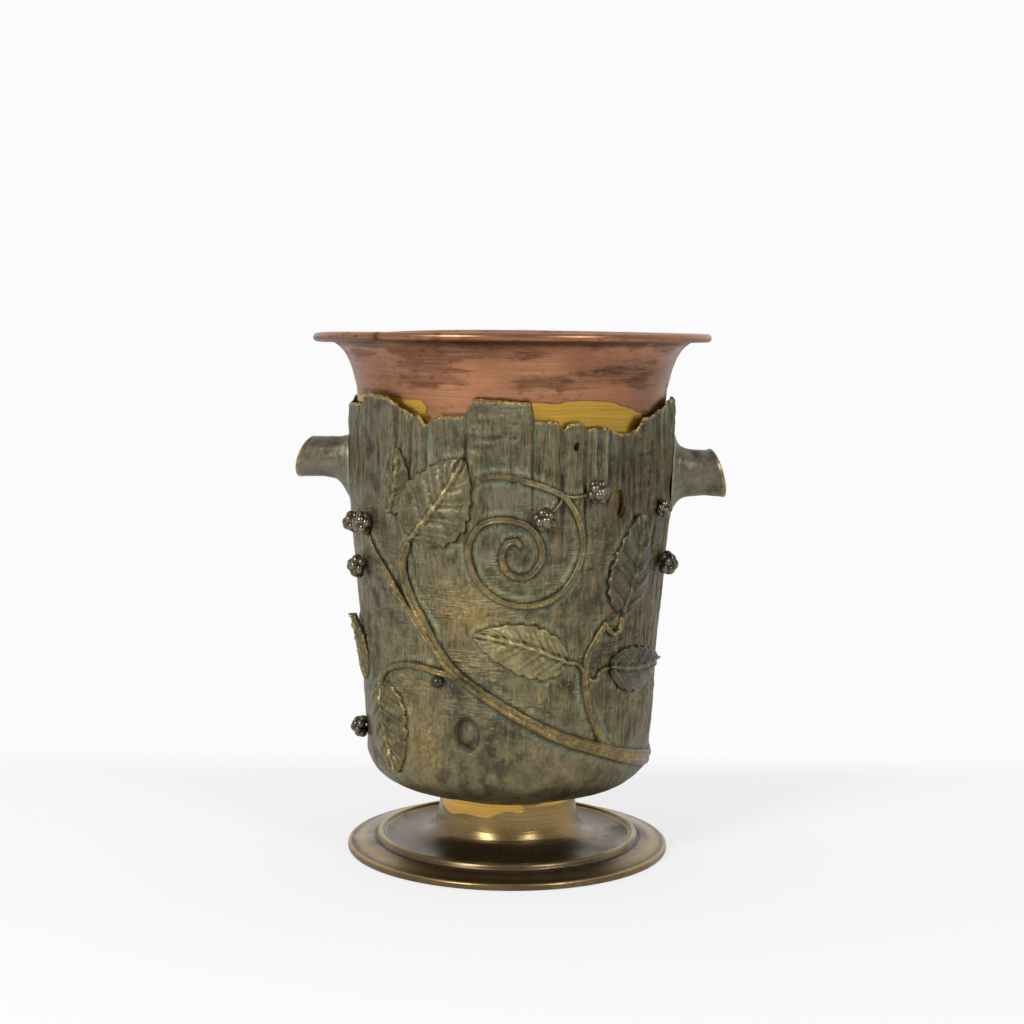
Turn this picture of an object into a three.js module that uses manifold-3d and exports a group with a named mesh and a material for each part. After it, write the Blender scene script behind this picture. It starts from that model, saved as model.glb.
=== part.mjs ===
// A cast bronze tree-trunk vase on a turned brass foot, with a spun copper liner that lifts out.
// Bramble stems, leaves, berries and a coiled tendril are applied to its bark.
// Lengths are millimetres and angles are degrees. +Z is up and the front of the vase faces -Y.
// The origin is the centre of the foot's standing face.
import * as THREE from 'three';
import { mergeVertices } from 'three/addons/utils/BufferGeometryUtils.js';
import Module from 'manifold-3d';

const wasm = await Module();
wasm.setup();

// Fits shared by all the pieces
const seatGap = 0.3; // between two pieces that touch
const boltClearance = 0.3; // between a shank and its hole, on the radius
const crossingRoom = 0.6; // cut from an ornament where another one lies over it
const turnSteps = 40; // facets round a turned or spun piece

// Foot
const footHeight = 30;
const flangeRadius = 82;
const flangeEdge = 3.4; // height of the flange's upright edge
const standingWidth = 5.5; // width of the flat ring that it stands on
const ringRadius = 65.2; // the raised ring between flange and dish
const ringHeight = 8.6;
const dishHeight = 6.2; // lowest part of the dish inside the ring
const neckRadius = 34.4;
const footWall = 2.8;
const footWeb = 4; // the closed top of the neck, which the bolt passes through

// Trunk
const trunkHeight = 204.3; // from the foot to the tallest plank
const trunkRadius = 83.2; // at the mouth
const trunkTaper = 10.8; // how much smaller the radius is just above the bowl
const bowlFlatRadius = 44;
const bowlRise = 19; // height of the rounded bottom
const bossRadius = 35.4;
const bossHeight = 2.4;
const bossStep = 1.4; // from the boss up to the flat of the bowl
const trunkWall = 2.8;
const floorThickness = 3.2;
const plankRelief = 1.3; // how far the planks of the mouth stand in front of each other
const plankFade = 62; // how far down the trunk that relief dies out

// Liner
const linerProud = 29.9; // how far the rim stands above the tallest plank
const rimRadius = 100;
const beadRadius = 2.1; // outside of the rolled rim
const copperThickness = 0.9;
const linerRoom = 2.8; // room all round between liner and trunk
const linerRingInner = 26; // the flat ring that the liner stands on
const linerRingOuter = 38;
const domeRoom = 1.9; // room above the bolt's head, under the liner's domed bottom

// Tie bolt, nut and washer
const boltRadius = 4;
const boltHeadRadius = 8;
const boltHeadHeight = 3.6;
const washerRadius = 10;
const washerThickness = 1.6;
const nutAcrossFlats = 13;
const nutHeight = 6.5;
const boltTail = 2.5; // what shows below the nut

// Branch stubs and their screws
const stubReach = 108.5; // from the axis of the vase to the furthest point of a cut end
const stubScrewRadius = 2.5;
const stubScrewHeadRadius = 4.6;
const stubScrewHeadHeight = 1.5;
const stubScrewDepth = 9; // how far it enters the stub

// Heights worked out from the sizes above
const trunkBase = footHeight + seatGap;
const trunkTop = trunkBase + trunkHeight;
const bowlFlat = trunkBase + bossHeight + bossStep;
const bowlTop = bowlFlat + bowlRise;
const floorTop = bowlFlat + floorThickness;
const linerBase = floorTop + seatGap;
const rimTop = trunkTop + linerProud;

// Colours and finishes
const bronze = { color: 0x6b6350, roughness: 0.55, metalness: 0.75 };
const bronzeStem = { color: 0x857344, roughness: 0.45, metalness: 0.8 };
const bronzeLeaf = { color: 0x7d7554, roughness: 0.5, metalness: 0.8 };
const bronzeBerry = { color: 0x4a4234, roughness: 0.35, metalness: 0.85 };
const brass = { color: 0x77603a, roughness: 0.32, metalness: 0.95 };
const copper = { color: 0x9d6e4f, roughness: 0.35, metalness: 0.95 };
const steel = { color: 0x8d8f92, roughness: 0.4, metalness: 0.9 };

const vase = new THREE.Group();
const liner = new THREE.Group();
vase.add(liner);

const radians = THREE.MathUtils.degToRad;

// Solids

// A closed mesh can come out with its faces turned in; its signed volume tells.
function facingOut(geometry) {
  const point = geometry.attributes.position;
  const index = geometry.index.array;
  const corners = [new THREE.Vector3(), new THREE.Vector3(), new THREE.Vector3()];
  let volume = 0;
  for (let i = 0; i < index.length; i += 3) {
    corners.forEach((corner, k) => corner.fromBufferAttribute(point, index[i + k]));
    volume += corners[0].dot(corners[1].cross(corners[2]));
  }
  if (volume < 0) {
    for (let i = 0; i < index.length; i += 3) {
      [index[i + 1], index[i + 2]] = [index[i + 2], index[i + 1]];
    }
  }
  return geometry;
}

function bare(geometry) {
  geometry.deleteAttribute('normal');
  geometry.deleteAttribute('uv');
  return facingOut(mergeVertices(geometry, 1e-5));
}

// A closed skin over rings of points that all have as many points.
// An endless skin joins its last ring to its first; otherwise the ends close on a point each.
function loft(rings, { endless = false, startPoint = null, endPoint = null } = {}) {
  const count = rings[0].length;
  const points = rings.flat();
  const index = [];
  const spans = endless ? rings.length : rings.length - 1;
  for (let r = 0; r < spans; r += 1) {
    const next = (r + 1) % rings.length;
    for (let i = 0; i < count; i += 1) {
      const j = (i + 1) % count;
      const corner = [r * count + i, r * count + j, next * count + i, next * count + j];
      index.push(corner[0], corner[2], corner[1], corner[1], corner[2], corner[3]);
    }
  }
  const closeEnd = (ring, tip, offset, flip) => {
    const centre = new THREE.Vector3();
    ring.forEach((point) => centre.addScaledVector(point, 1 / count));
    points.push(tip ?? centre);
    for (let i = 0; i < count; i += 1) {
      const pair = [offset + i, offset + ((i + 1) % count)];
      index.push(points.length - 1, pair[flip ? 1 : 0], pair[flip ? 0 : 1]);
    }
  };
  if (!endless) {
    closeEnd(rings[0], startPoint, 0, false);
    closeEnd(rings[rings.length - 1], endPoint, (rings.length - 1) * count, true);
  }
  const geometry = new THREE.BufferGeometry().setFromPoints(points);
  geometry.setIndex(index);
  return facingOut(geometry);
}

// A turned solid about the vertical axis, from [radius, height] points.
function turned(profile, steps = turnSteps) {
  const points = profile.map(([radius, height]) => new THREE.Vector2(radius, height));
  const geometry = new THREE.LatheGeometry(points, steps);
  geometry.rotateX(Math.PI / 2);
  return bare(geometry);
}

function solid(geometry) {
  const mesh = new wasm.Mesh({
    numProp: 3,
    vertProperties: new Float32Array(geometry.attributes.position.array),
    triVerts: new Uint32Array(geometry.index.array),
  });
  return new wasm.Manifold(mesh);
}

function cut(body, cutters) {
  let result = solid(body);
  for (const cutter of cutters) {
    result = result.subtract(solid(cutter));
  }
  const mesh = result.getMesh();
  const geometry = new THREE.BufferGeometry();
  geometry.setAttribute('position', new THREE.BufferAttribute(new Float32Array(mesh.vertProperties), 3));
  geometry.setIndex(new THREE.BufferAttribute(new Uint32Array(mesh.triVerts), 1));
  return geometry;
}

function addPiece(name, geometry, finish, group = vase) {
  const mesh = new THREE.Mesh(geometry, new THREE.MeshStandardMaterial(finish));
  mesh.name = name;
  group.add(mesh);
  return mesh;
}

function arc(centreRadius, centreHeight, radius, from, to, steps) {
  const points = [];
  for (let i = 0; i <= steps; i += 1) {
    const angle = radians(from + ((to - from) * i) / steps);
    points.push([centreRadius + radius * Math.cos(angle), centreHeight + radius * Math.sin(angle)]);
  }
  return points;
}

// The trunk's wall

// Share of the taper that is left, against the share of the wall's height above the bowl.
const taperCurve = new THREE.SplineCurve(
  [[0, 1], [0.13, 0.88], [0.24, 0.76], [0.4, 0.59], [0.57, 0.35], [0.68, 0.15], [0.82, 0.04], [1, 0]]
    .map(([up, left]) => new THREE.Vector2(up, left)),
);

function taperLeft(share) {
  const knots = taperCurve.points;
  const clamped = THREE.MathUtils.clamp(share, 0, 1);
  let k = 0;
  while (k < knots.length - 2 && knots[k + 1].x < clamped) k += 1;
  const along = (clamped - knots[k].x) / (knots[k + 1].x - knots[k].x);
  return taperCurve.getPoint((k + along) / (knots.length - 1)).y;
}

// The outside radius of the bark at a height.
function barkRadius(z) {
  const shoulder = trunkRadius - trunkTaper;
  if (z >= bowlTop) {
    return trunkRadius - trunkTaper * taperLeft((z - bowlTop) / (trunkTop - bowlTop));
  }
  const down = THREE.MathUtils.clamp((bowlTop - z) / bowlRise, 0, 1);
  return bowlFlatRadius + (shoulder - bowlFlatRadius) * Math.sqrt(1 - down * down);
}

// The radius of the inside of the wall, which the liner follows.
function boreRadius(z) {
  const innerFlat = bowlFlatRadius - trunkWall;
  const innerShoulder = trunkRadius - trunkTaper - trunkWall;
  if (z >= bowlTop) {
    return barkRadius(z) - trunkWall;
  }
  const down = THREE.MathUtils.clamp((bowlTop - z) / (bowlTop - floorTop), 0, 1);
  return innerFlat + (innerShoulder - innerFlat) * Math.sqrt(1 - down * down);
}

// A point on the bark: an angle from the front towards +X, a height and a lift off the surface.
function onBark(angle, z, lift) {
  const radius = barkRadius(z) + lift;
  return new THREE.Vector3(radius * Math.sin(radians(angle)), -radius * Math.cos(radians(angle)), z);
}

// The same, with the height as a percentage of the trunk's height.
function percentUp(percent) {
  return trunkBase + (trunkHeight * percent) / 100;
}

// The jagged mouth: [angle, how far below the tallest plank], going round from the back.
const mouth = [
  [-180, 4], [-171, 3], [-170.4, 9], [-160, 11], [-159.4, 6], [-148, 5], [-147.4, 13], [-139, 12],
  [-138.4, 2], [-124, 1], [-123.4, 8], [-112, 7], [-111.4, 4], [-98, 3], [-90, 6], [-63, 5.5],
  [-62.4, 1.2], [-55, 0], [-46, 1.2], [-42, 5.2], [-36, 8.5], [-35.4, 9.6], [-32.5, 8.8],
  [-30, 13.4], [-24.7, 9], [-17.4, 9], [-15.6, 7.6], [-12.8, 0.6], [-1.5, 1.7], [7, 2.4],
  [7.6, 11], [15.6, 11], [17.7, 15], [19.6, 11.8], [25.4, 11.9], [26.2, 14.6], [33.3, 14],
  [39.2, 17], [46.4, 17.2], [51.4, 10.2], [56.4, 10], [73, 2.8], [88, 2], [88.6, 7], [101, 8],
  [101.6, 3], [115, 2], [115.6, 12], [126, 11], [126.6, 5], [141, 6], [141.6, 1], [154, 2],
  [154.6, 10], [166, 9], [166.6, 4], [180, 4],
];

// Angles where one plank's face ends and the next begins, with how deep each face lies as a share.
const planks = [
  [-180, 0.4], [-170.7, 0.9], [-159.7, 0.2], [-147.7, 0.7], [-138.7, 0], [-123.7, 0.6], [-111.7, 0.3],
  [-97, 0.8], [-84, 0.5], [-62.7, 0], [-42.4, 0.6], [-35.7, 0.2], [-29.6, 0.7], [-15.4, 0],
  [7.3, 0.6], [17.7, 0.3], [26, 0.8], [39, 1], [47, 0.5], [62, 0.1], [76, 0.5], [88.3, 0.2],
  [101.3, 0.8], [115.3, 0.4], [126.3, 0.1], [141.3, 0.6], [154.3, 0.2], [166.3, 0.7],
];
const plankEdgeWidth = 0.6; // the angle over which one face drops to the next
const barkStep = 10; // the largest angle between two columns of the wall

function mouthDrop(angle) {
  let k = 0;
  while (k < mouth.length - 2 && mouth[k + 1][0] < angle) k += 1;
  const along = (angle - mouth[k][0]) / (mouth[k + 1][0] - mouth[k][0]);
  return mouth[k][1] + (mouth[k + 1][1] - mouth[k][1]) * along;
}

function plankDepth(angle) {
  let k = planks.length - 1;
  while (k > 0 && planks[k][0] > angle) k -= 1;
  return planks[k][1] * plankRelief;
}

function wallAngles() {
  const angles = mouth.slice(0, -1).map(([angle]) => angle);
  for (const [edge] of planks.slice(1)) {
    angles.push(edge - plankEdgeWidth / 2, edge + plankEdgeWidth / 2);
  }
  for (let angle = -180; angle < 180; angle += barkStep) {
    angles.push(angle);
  }
  angles.sort((a, b) => a - b);
  return angles.filter((angle, i) => i === 0 || angle - angles[i - 1] > plankEdgeWidth / 3);
}

// Shares of the wall's height above the bowl where the skin has a row of points.
const outerRows = [0.12, 0.26, 0.42, 0.57, 0.68, 0.82, 0.92];
const innerRows = [0.85, 0.74, 0.57, 0.26];
const boltHole = boltRadius + boltClearance;

function trunkColumn(angle) {
  const top = trunkTop - mouthDrop(angle);
  const rowHeight = (share) => bowlTop + (top - bowlTop) * share;
  const sunk = (z) => {
    const fade = THREE.MathUtils.clamp((z - (trunkTop - plankFade)) / plankFade, 0, 1);
    return plankDepth(angle) * fade;
  };
  const column = [
    [boltHole, trunkBase],
    [bossRadius, trunkBase],
    [bossRadius, trunkBase + bossHeight],
    [bossRadius + bossStep, bowlFlat - 0.3],
    [bowlFlatRadius, bowlFlat],
  ];
  for (const turn of [28, 52, 72]) {
    const z = bowlTop - bowlRise * Math.cos(radians(turn));
    column.push([barkRadius(z), z]);
  }
  column.push([barkRadius(bowlTop), bowlTop]);
  for (const share of outerRows) {
    const z = rowHeight(share);
    column.push([barkRadius(z) - sunk(z), z]);
  }
  column.push([barkRadius(top) - sunk(top), top]);
  column.push([boreRadius(top), top]);
  for (const share of innerRows) {
    column.push([boreRadius(rowHeight(share)), rowHeight(share)]);
  }
  column.push([boreRadius(bowlTop), bowlTop]);
  for (const turn of [60, 34]) {
    const z = bowlTop - (bowlTop - floorTop) * Math.cos(radians(turn));
    column.push([boreRadius(z), z]);
  }
  column.push([boreRadius(floorTop), floorTop]);
  column.push([boltHole, floorTop]);
  return column.map(([radius, z]) => new THREE.Vector3(
    radius * Math.sin(radians(angle)),
    -radius * Math.cos(radians(angle)),
    z,
  ));
}

// Splits in the wood that go right through the wall, where the copper shows.
const slot = { angle: 40.6, bottom: 72.4, height: 11, width: 3.4 };
const smallHole = { angle: 22, up: 88.6, radius: 1.1 };

function radialBox(angle, z, width, height) {
  const box = new THREE.BoxGeometry(width, trunkWall * 6, height);
  box.translate(0, -barkRadius(z), z);
  box.rotateZ(radians(angle));
  return bare(box);
}

function radialRod(angle, z, radius, from, to) {
  const rod = new THREE.CylinderGeometry(radius, radius, to - from, 16);
  rod.translate(0, -(from + to) / 2, z);
  rod.rotateZ(radians(angle));
  return bare(rod);
}

// Branch stubs, each pointing along X: [distance from the bark, up, down, half width] per section.
const stubs = {
  left: {
    side: -1,
    height: 200.3,
    slantUp: 6.1,
    slantAway: 4.4,
    sections: [[0, 11.4, 23, 11.6], [4, 10.7, 16, 10.8], [8, 10.3, 12, 10.4], [14, 10.3, 10.5, 10.3]],
    tip: [10.3, 10.5, 10.3],
  },
  right: {
    side: 1,
    height: 194,
    slantUp: 6.6,
    slantAway: 2.6,
    sections: [[0, 21, 22, 13.4], [3, 15, 15, 12.8], [6, 12.8, 12.8, 12.3], [12, 12.1, 12.1, 12.1]],
    tip: [12.1, 12.5, 12.2],
  },
};
const stubPoints = 16; // points round a section
const sawnHollow = 1; // how deep the sawn end dishes in

function stubGeometry({ side, height, slantUp, slantAway, sections, tip }) {
  const ring = (up, down, width, reach) => {
    const points = [];
    for (let i = 0; i < stubPoints; i += 1) {
      const turn = (2 * Math.PI * i) / stubPoints;
      const y = width * Math.cos(turn);
      const rise = Math.sin(turn) * (Math.sin(turn) > 0 ? up : down);
      points.push(new THREE.Vector3(side * reach(y, rise), y, height + rise));
    }
    return points;
  };
  const rings = sections.map(([distance, up, down, width]) => ring(up, down, width, (y, rise) => {
    const radius = barkRadius(height + rise) + seatGap;
    return Math.sqrt(radius * radius - y * y) + distance;
  }));
  const [up, down, width] = tip;
  const sawn = (y, rise) => stubReach - (slantAway * (1 + y / width)) - (slantUp * (1 + rise / up)) / 2;
  const end = ring(up, down, width, sawn);
  const furthest = Math.max(...end.map((point) => Math.abs(point.x)));
  end.forEach((point) => {
    point.x += side * (stubReach - furthest);
  });
  rings.push(end);
  const middle = end.reduce((sum, point) => sum.addScaledVector(point, 1 / stubPoints), new THREE.Vector3());
  middle.x -= side * sawnHollow;
  const radius = barkRadius(height) + seatGap;
  return loft(rings, { startPoint: new THREE.Vector3(side * radius, 0, height), endPoint: middle });
}

// Applied ornament: every point is [angle, percent of the trunk's height].
const stems = {
  main_vine: {
    path: [[97, 8.2], [80, 9.6], [53, 13.2], [38, 16.2], [20, 20.2], [4.4, 25.4], [-10.4, 31.3],
      [-21.1, 36.6], [-27.4, 41.8], [-32.2, 47.4], [-37.2, 53.1], [-39.6, 57.7], [-39.6, 61.5],
      [-37, 65]],
    width: [7.4, 4.2],
    height: [3.6, 2.2],
    step: 8,
  },
  vine_outer_branch: {
    path: [[-22, 37.2], [-29.8, 42.8], [-38.4, 49.9], [-46.8, 57.1], [-54.6, 62.6], [-57, 64.6]],
    width: [4.6, 2.8],
    height: [2.8, 1.8],
    step: 8,
    under: ['main_vine'],
  },
  left_twig: {
    path: [[-20, 34], [-28, 35.2], [-36, 36.2], [-44.8, 35.3], [-52, 33.4], [-56, 31.4]],
    width: [4.4, 3],
    height: [2.4, 1.8],
    step: 7,
    under: ['main_vine', 'vine_outer_branch', 'bud', 'leaf_low_left'],
  },
  right_stem: {
    path: [[43, 15], [36.2, 20], [31.4, 25.8], [28.8, 31.3], [28.4, 35.7], [29.3, 39.7],
      [32.8, 43.6], [36.5, 47.2]],
    width: [4.6, 3],
    height: [2.8, 2],
    step: 8,
    under: ['main_vine'],
  },
  stalk_centre_leaf: {
    path: [[28.4, 34.6], [25.6, 36.9], [22.6, 38]],
    width: [2.8, 2.2],
    height: [2.2, 1.8],
    step: 4,
    under: ['right_stem', 'leaf_centre'],
  },
  stalk_low_right_leaf: {
    path: [[28.4, 35], [32, 33.6], [35.4, 35.3], [39, 36.2]],
    width: [3, 2.4],
    height: [2.4, 2],
    step: 4,
    under: ['right_stem', 'leaf_low_right'],
  },
  hooked_stalk: {
    path: [[36.3, 47.3], [38.4, 45.2], [42.2, 44.9], [44, 48.6]],
    width: [2.8, 2.4],
    height: [2.2, 2],
    step: 4,
    under: ['right_stem', 'leaf_right'],
  },
  tendril_spiral: {
    path: [[-14.2, 79.6], [-9, 81.4], [-3.2, 82], [5, 80.8], [12, 79.2], [18, 77], [22.6, 72.4],
      [24.9, 66.4], [23.6, 60.6], [19, 55.6], [12.6, 52.8], [4.1, 51.9], [-4.6, 53.6],
      [-11.3, 57.8], [-14, 63.6], [-12.8, 67.8], [-9, 70.9], [-3.4, 72], [2, 71.6], [7, 69.9],
      [10.2, 66.4], [10.4, 62.6], [7.4, 59.4], [3, 58.6], [-1, 60], [-2.8, 63.2], [-1, 66.4],
      [2.2, 67], [3.8, 65.2]],
    width: [2.6, 3.4],
    height: [1.5, 2.2],
    step: 5,
    under: ['leaf_upper_left'],
  },
  berry_stalk_left: {
    path: [[16.6, 76], [14.6, 74.2], [12.4, 73]],
    width: [1.6, 1.6],
    height: [1.4, 1.4],
    step: 3,
    under: ['tendril_spiral', 'berry_left_of_stalk'],
  },
  berry_stalk_right: {
    path: [[18, 78.4], [22, 77.6], [26, 78]],
    width: [1.6, 1.6],
    height: [1.4, 1.4],
    step: 3,
    under: ['tendril_spiral', 'berry_right_of_stalk'],
  },
  rear_vine: {
    path: [[99, 8.2], [118, 9.6], [136, 14], [152, 22], [166, 32], [176, 44], [182, 55], [184, 64]],
    width: [7.2, 4],
    height: [3.4, 2.2],
    step: 9,
    under: ['main_vine', 'leaf_rear_top'],
  },
  rear_branch: {
    path: [[166, 32], [178, 36], [192, 43], [205, 53], [214, 62]],
    width: [4.2, 2.8],
    height: [2.6, 1.8],
    step: 8,
    under: ['rear_vine', 'leaf_rear_left'],
  },
  rear_stem: {
    path: [[136, 14], [134, 24], [130, 33], [127, 41]],
    width: [4.2, 3],
    height: [2.6, 2],
    step: 8,
    under: ['rear_vine', 'leaf_rear_right'],
  },
};

// Leaves: where the stalk meets the leaf, which way it points, clockwise from straight up,
// its length and the half widths on its left and right.
const leaves = {
  leaf_upper_left: { base: [-35.4, 66.6], heading: 37, length: 49, left: 20, right: 19, rise: 3 },
  leaf_behind: {
    base: [-45, 73], heading: 12, length: 31, left: 9, right: 9, rise: 1.6, under: ['leaf_upper_left'],
  },
  leaf_centre: { base: [21, 38.4], heading: -73, length: 47, left: 15.5, right: 11.5, rise: 3 },
  leaf_right: { base: [43.6, 48.9], heading: 9, length: 49, left: 16, right: 16, rise: 3.4 },
  leaf_low_right: { base: [39.4, 36.4], heading: 92, length: 46, left: 11.5, right: 13, rise: 2.6 },
  leaf_low_left: { base: [-55.6, 31], heading: 166, length: 44, left: 17, right: 17, rise: 3.4 },
  leaf_left_edge: {
    base: [-69, 27], heading: -26, length: 44, left: 8, right: 8, rise: 2.4, tipLift: 4,
    under: ['leaf_low_left'],
  },
  leaf_rear_top: { base: [184.5, 65], heading: 20, length: 46, left: 18, right: 18, rise: 3 },
  leaf_rear_left: { base: [215, 63.4], heading: 62, length: 42, left: 15, right: 15, rise: 3 },
  leaf_rear_right: { base: [126.6, 42.4], heading: -20, length: 46, left: 16, right: 16, rise: 3 },
};
const leafRows = 9;
const leafEdge = 1.1; // thickness at a leaf's edge
const leafAcross = [-1, -0.55, 0, 0.55, 1];

// Berries: clusters of drupelets cast as domes on the bark.
const berries = {
  berry_left_of_stalk: { at: [11, 72.2], radius: 6 },
  berry_right_of_stalk: { at: [28.6, 78.4], radius: 6.2 },
  berry_upper_left_inner: { at: [-58.6, 69], radius: 6 },
  berry_upper_left_outer: { at: [-68.4, 68.6], radius: 5.6 },
  berry_left_edge: { at: [-66, 58], radius: 6.2 },
  berry_low_left: { at: [-79.6, 16.6], radius: 5.8 },
  berry_right_small: { at: [63, 73], radius: 4.8 },
  berry_right_edge: { at: [71, 59], radius: 6.4 },
  berry_rear_first: { at: [150, 58], radius: 6 },
  berry_rear_second: { at: [158, 63], radius: 6 },
  berry_rear_third: { at: [232, 52], radius: 6 },
  bud: { at: [-26.8, 33.2], radius: 2.8 },
};
const berrySink = 0.25; // share of a berry's radius that the bark hides

// A D-shaped stem along a path on the bark. Grown, it is the room that it needs with its seat gap.
function stemGeometry({ path, width, height, step }, grow = 0) {
  const curve = new THREE.CatmullRomCurve3(path.map(([angle, percent]) => (
    new THREE.Vector3(radians(angle) * trunkRadius, percentUp(percent), 0))));
  const count = Math.max(3, Math.round(curve.getLength() / step));
  const rings = [];
  for (let k = 0; k <= count; k += 1) {
    const along = k / count;
    const centre = curve.getPointAt(along);
    const heading = curve.getTangentAt(along);
    const ends = k === 0 || k === count ? 0.6 : 1;
    const halfWidth = (THREE.MathUtils.lerp(...width, along) / 2) * ends + grow;
    const rise = THREE.MathUtils.lerp(...height, along) * ends + grow;
    const ring = [];
    for (const turn of [0, 50, 90, 130, 180, 270]) {
      const across = halfWidth * Math.cos(radians(turn));
      const lift = seatGap - 3 * grow + (rise + 3 * grow) * Math.max(0, Math.sin(radians(turn)));
      const z = centre.y + across * heading.x;
      const angle = THREE.MathUtils.radToDeg((centre.x) / trunkRadius - (across * heading.y) / barkRadius(z));
      ring.push(onBark(angle, z, lift));
    }
    rings.push(ring);
  }
  return loft(rings);
}

// A domed leaf with a raised midrib, pointed at both ends.
function leafGeometry({ base, heading, length, left, right, rise, tipLift = 0 }, grow = 0) {
  const baseHeight = percentUp(base[1]);
  const forward = new THREE.Vector2(Math.sin(radians(heading)), Math.cos(radians(heading)));
  const place = (along, across, lift) => {
    const east = forward.x * along + forward.y * across;
    const z = baseHeight + forward.y * along - forward.x * across;
    const angle = base[0] + THREE.MathUtils.radToDeg(east / barkRadius(z));
    return onBark(angle, z, seatGap + lift);
  };
  const outline = (share) => Math.sin(Math.PI * share ** 0.72) ** 0.8;
  const rings = [];
  for (let k = 1; k < leafRows; k += 1) {
    const share = k / leafRows;
    const lifted = tipLift * share * share;
    const row = (across, lift) => {
      const reach = across < 0 ? left : right;
      const side = across * reach * outline(share) + Math.sign(across) * grow;
      return place(share * length, side, lift + lifted);
    };
    const dome = (across) => leafEdge + (rise - leafEdge) * (1 - across * across) + grow;
    const top = leafAcross.map((across) => row(across, dome(across)));
    const bottom = leafAcross.map((across) => row(across, -3 * grow)).reverse();
    rings.push([...top, ...bottom]);
  }
  const ends = {
    startPoint: place(-grow, 0, leafEdge / 2),
    endPoint: place(length + grow, 0, leafEdge / 2 + tipLift),
  };
  return loft(rings, ends);
}

// A lumpy dome: a ball with every corner of its net pushed in or out, and its foot on the bark.
function berryGeometry({ at, radius }, grow = 0) {
  const centreHeight = percentUp(at[1]);
  const lowest = barkRadius(centreHeight) + seatGap;
  const ball = bare(new THREE.IcosahedronGeometry(1, 1));
  const point = ball.attributes.position;
  const centre = onBark(at[0], centreHeight, seatGap + radius * (1 - 2 * berrySink));
  for (let i = 0; i < point.count; i += 1) {
    const direction = new THREE.Vector3().fromBufferAttribute(point, i);
    const size = radius * (i % 2 ? 0.98 : 0.9) + grow;
    const corner = direction.multiplyScalar(size).add(centre);
    const flat = Math.hypot(corner.x, corner.y);
    const floor = barkRadius(corner.z) + seatGap - 3 * grow;
    const limit = Math.min(floor, lowest + radius);
    if (flat < limit) {
      corner.x *= limit / flat;
      corner.y *= limit / flat;
    }
    point.setXYZ(i, corner.x, corner.y, corner.z);
  }
  return facingOut(ball);
}

const ornaments = [
  ...Object.entries(stems).map(([name, spec]) => ({ name, spec, shape: stemGeometry, finish: bronzeStem })),
  ...Object.entries(leaves).map(([name, spec]) => ({ name, spec, shape: leafGeometry, finish: bronzeLeaf })),
  ...Object.entries(berries).map(([name, spec]) => ({ name, spec, shape: berryGeometry, finish: bronzeBerry })),
];

for (const { name, spec, shape, finish } of ornaments) {
  const above = ornaments.filter((other) => (spec.under ?? []).includes(other.name));
  const room = above.map((other) => other.shape(other.spec, crossingRoom));
  const geometry = shape(spec);
  addPiece(name, room.length ? cut(geometry, room) : geometry, finish);
}

// Foot

function footProfile() {
  const neckTop = footHeight;
  const outside = [
    [flangeRadius - 0.6, 0],
    [flangeRadius, 0.6],
    [flangeRadius, flangeEdge - 0.8],
    [flangeRadius - 0.9, flangeEdge],
    [flangeRadius - 3, flangeEdge + 0.3],
    [flangeRadius - 8, flangeEdge + 1.3],
    [ringRadius + 4.6, ringHeight - 2.9],
    [ringRadius + 2.4, ringHeight - 2.9],
    [ringRadius + 1.4, ringHeight - 0.7],
    [ringRadius, ringHeight],
    [ringRadius - 1.6, ringHeight - 0.7],
    [ringRadius - 3.4, dishHeight + 0.4],
    [ringRadius - 10, dishHeight],
    [neckRadius + 13, dishHeight + 1.4],
    [neckRadius + 7.6, dishHeight + 4],
    [neckRadius + 3.6, dishHeight + 8.4],
    [neckRadius + 1.2, dishHeight + 14.4],
    [neckRadius, neckTop],
  ];
  const inside = [
    [boltHole, neckTop],
    [boltHole, neckTop - footWeb],
    [neckRadius - footWall, neckTop - footWeb],
    [neckRadius + 1.2 - footWall, dishHeight + 12],
    [neckRadius + 5 - footWall, dishHeight + 3.6],
    [neckRadius + 10, dishHeight - footWall],
    [ringRadius - 4, dishHeight - footWall],
    [flangeRadius - standingWidth - 4, flangeEdge - 1.4],
    [flangeRadius - standingWidth, 0],
  ];
  return [...outside, ...inside, outside[0]];
}

addPiece('pedestal_foot', turned(footProfile()), brass);

// Trunk

const slotHeight = percentUp(slot.bottom) + slot.height / 2;
const stubScrewHole = stubScrewRadius + boltClearance;
const trunkCutters = [
  radialBox(slot.angle, slotHeight, slot.width, slot.height),
  radialRod(smallHole.angle, percentUp(smallHole.up), smallHole.radius, trunkRadius - 9, trunkRadius + 9),
  ...Object.values(stubs).map(({ side, height }) => (
    radialRod(90 * side, height, stubScrewHole, trunkRadius - 9, trunkRadius + 9))),
];
const trunkSkin = loft(wallAngles().map(trunkColumn), { endless: true });
addPiece('trunk_shell', cut(trunkSkin, trunkCutters), bronze);

// Stubs and the screws that hold them from inside the wall

for (const [name, stub] of Object.entries(stubs)) {
  const { side, height } = stub;
  const bark = barkRadius(height);
  const depth = bark + seatGap + stubScrewDepth;
  const threadedHole = radialRod(90 * side, height, stubScrewHole, bark - trunkWall, depth + seatGap);
  addPiece(`branch_stub_${name}`, cut(stubGeometry(stub), [threadedHole]), bronze);

  const headSeat = Math.sqrt(boreRadius(height) ** 2 - stubScrewHeadRadius ** 2) - 2 * seatGap;
  const head = headSeat - stubScrewHeadHeight;
  const screw = turned([
    [0, head],
    [stubScrewHeadRadius, head],
    [stubScrewHeadRadius, headSeat],
    [stubScrewRadius, headSeat],
    [stubScrewRadius, depth],
    [0, depth],
  ], 12);
  screw.rotateY((side * Math.PI) / 2);
  screw.translate(0, 0, height);
  addPiece(`stub_screw_${name}`, screw, steel);
}

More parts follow.
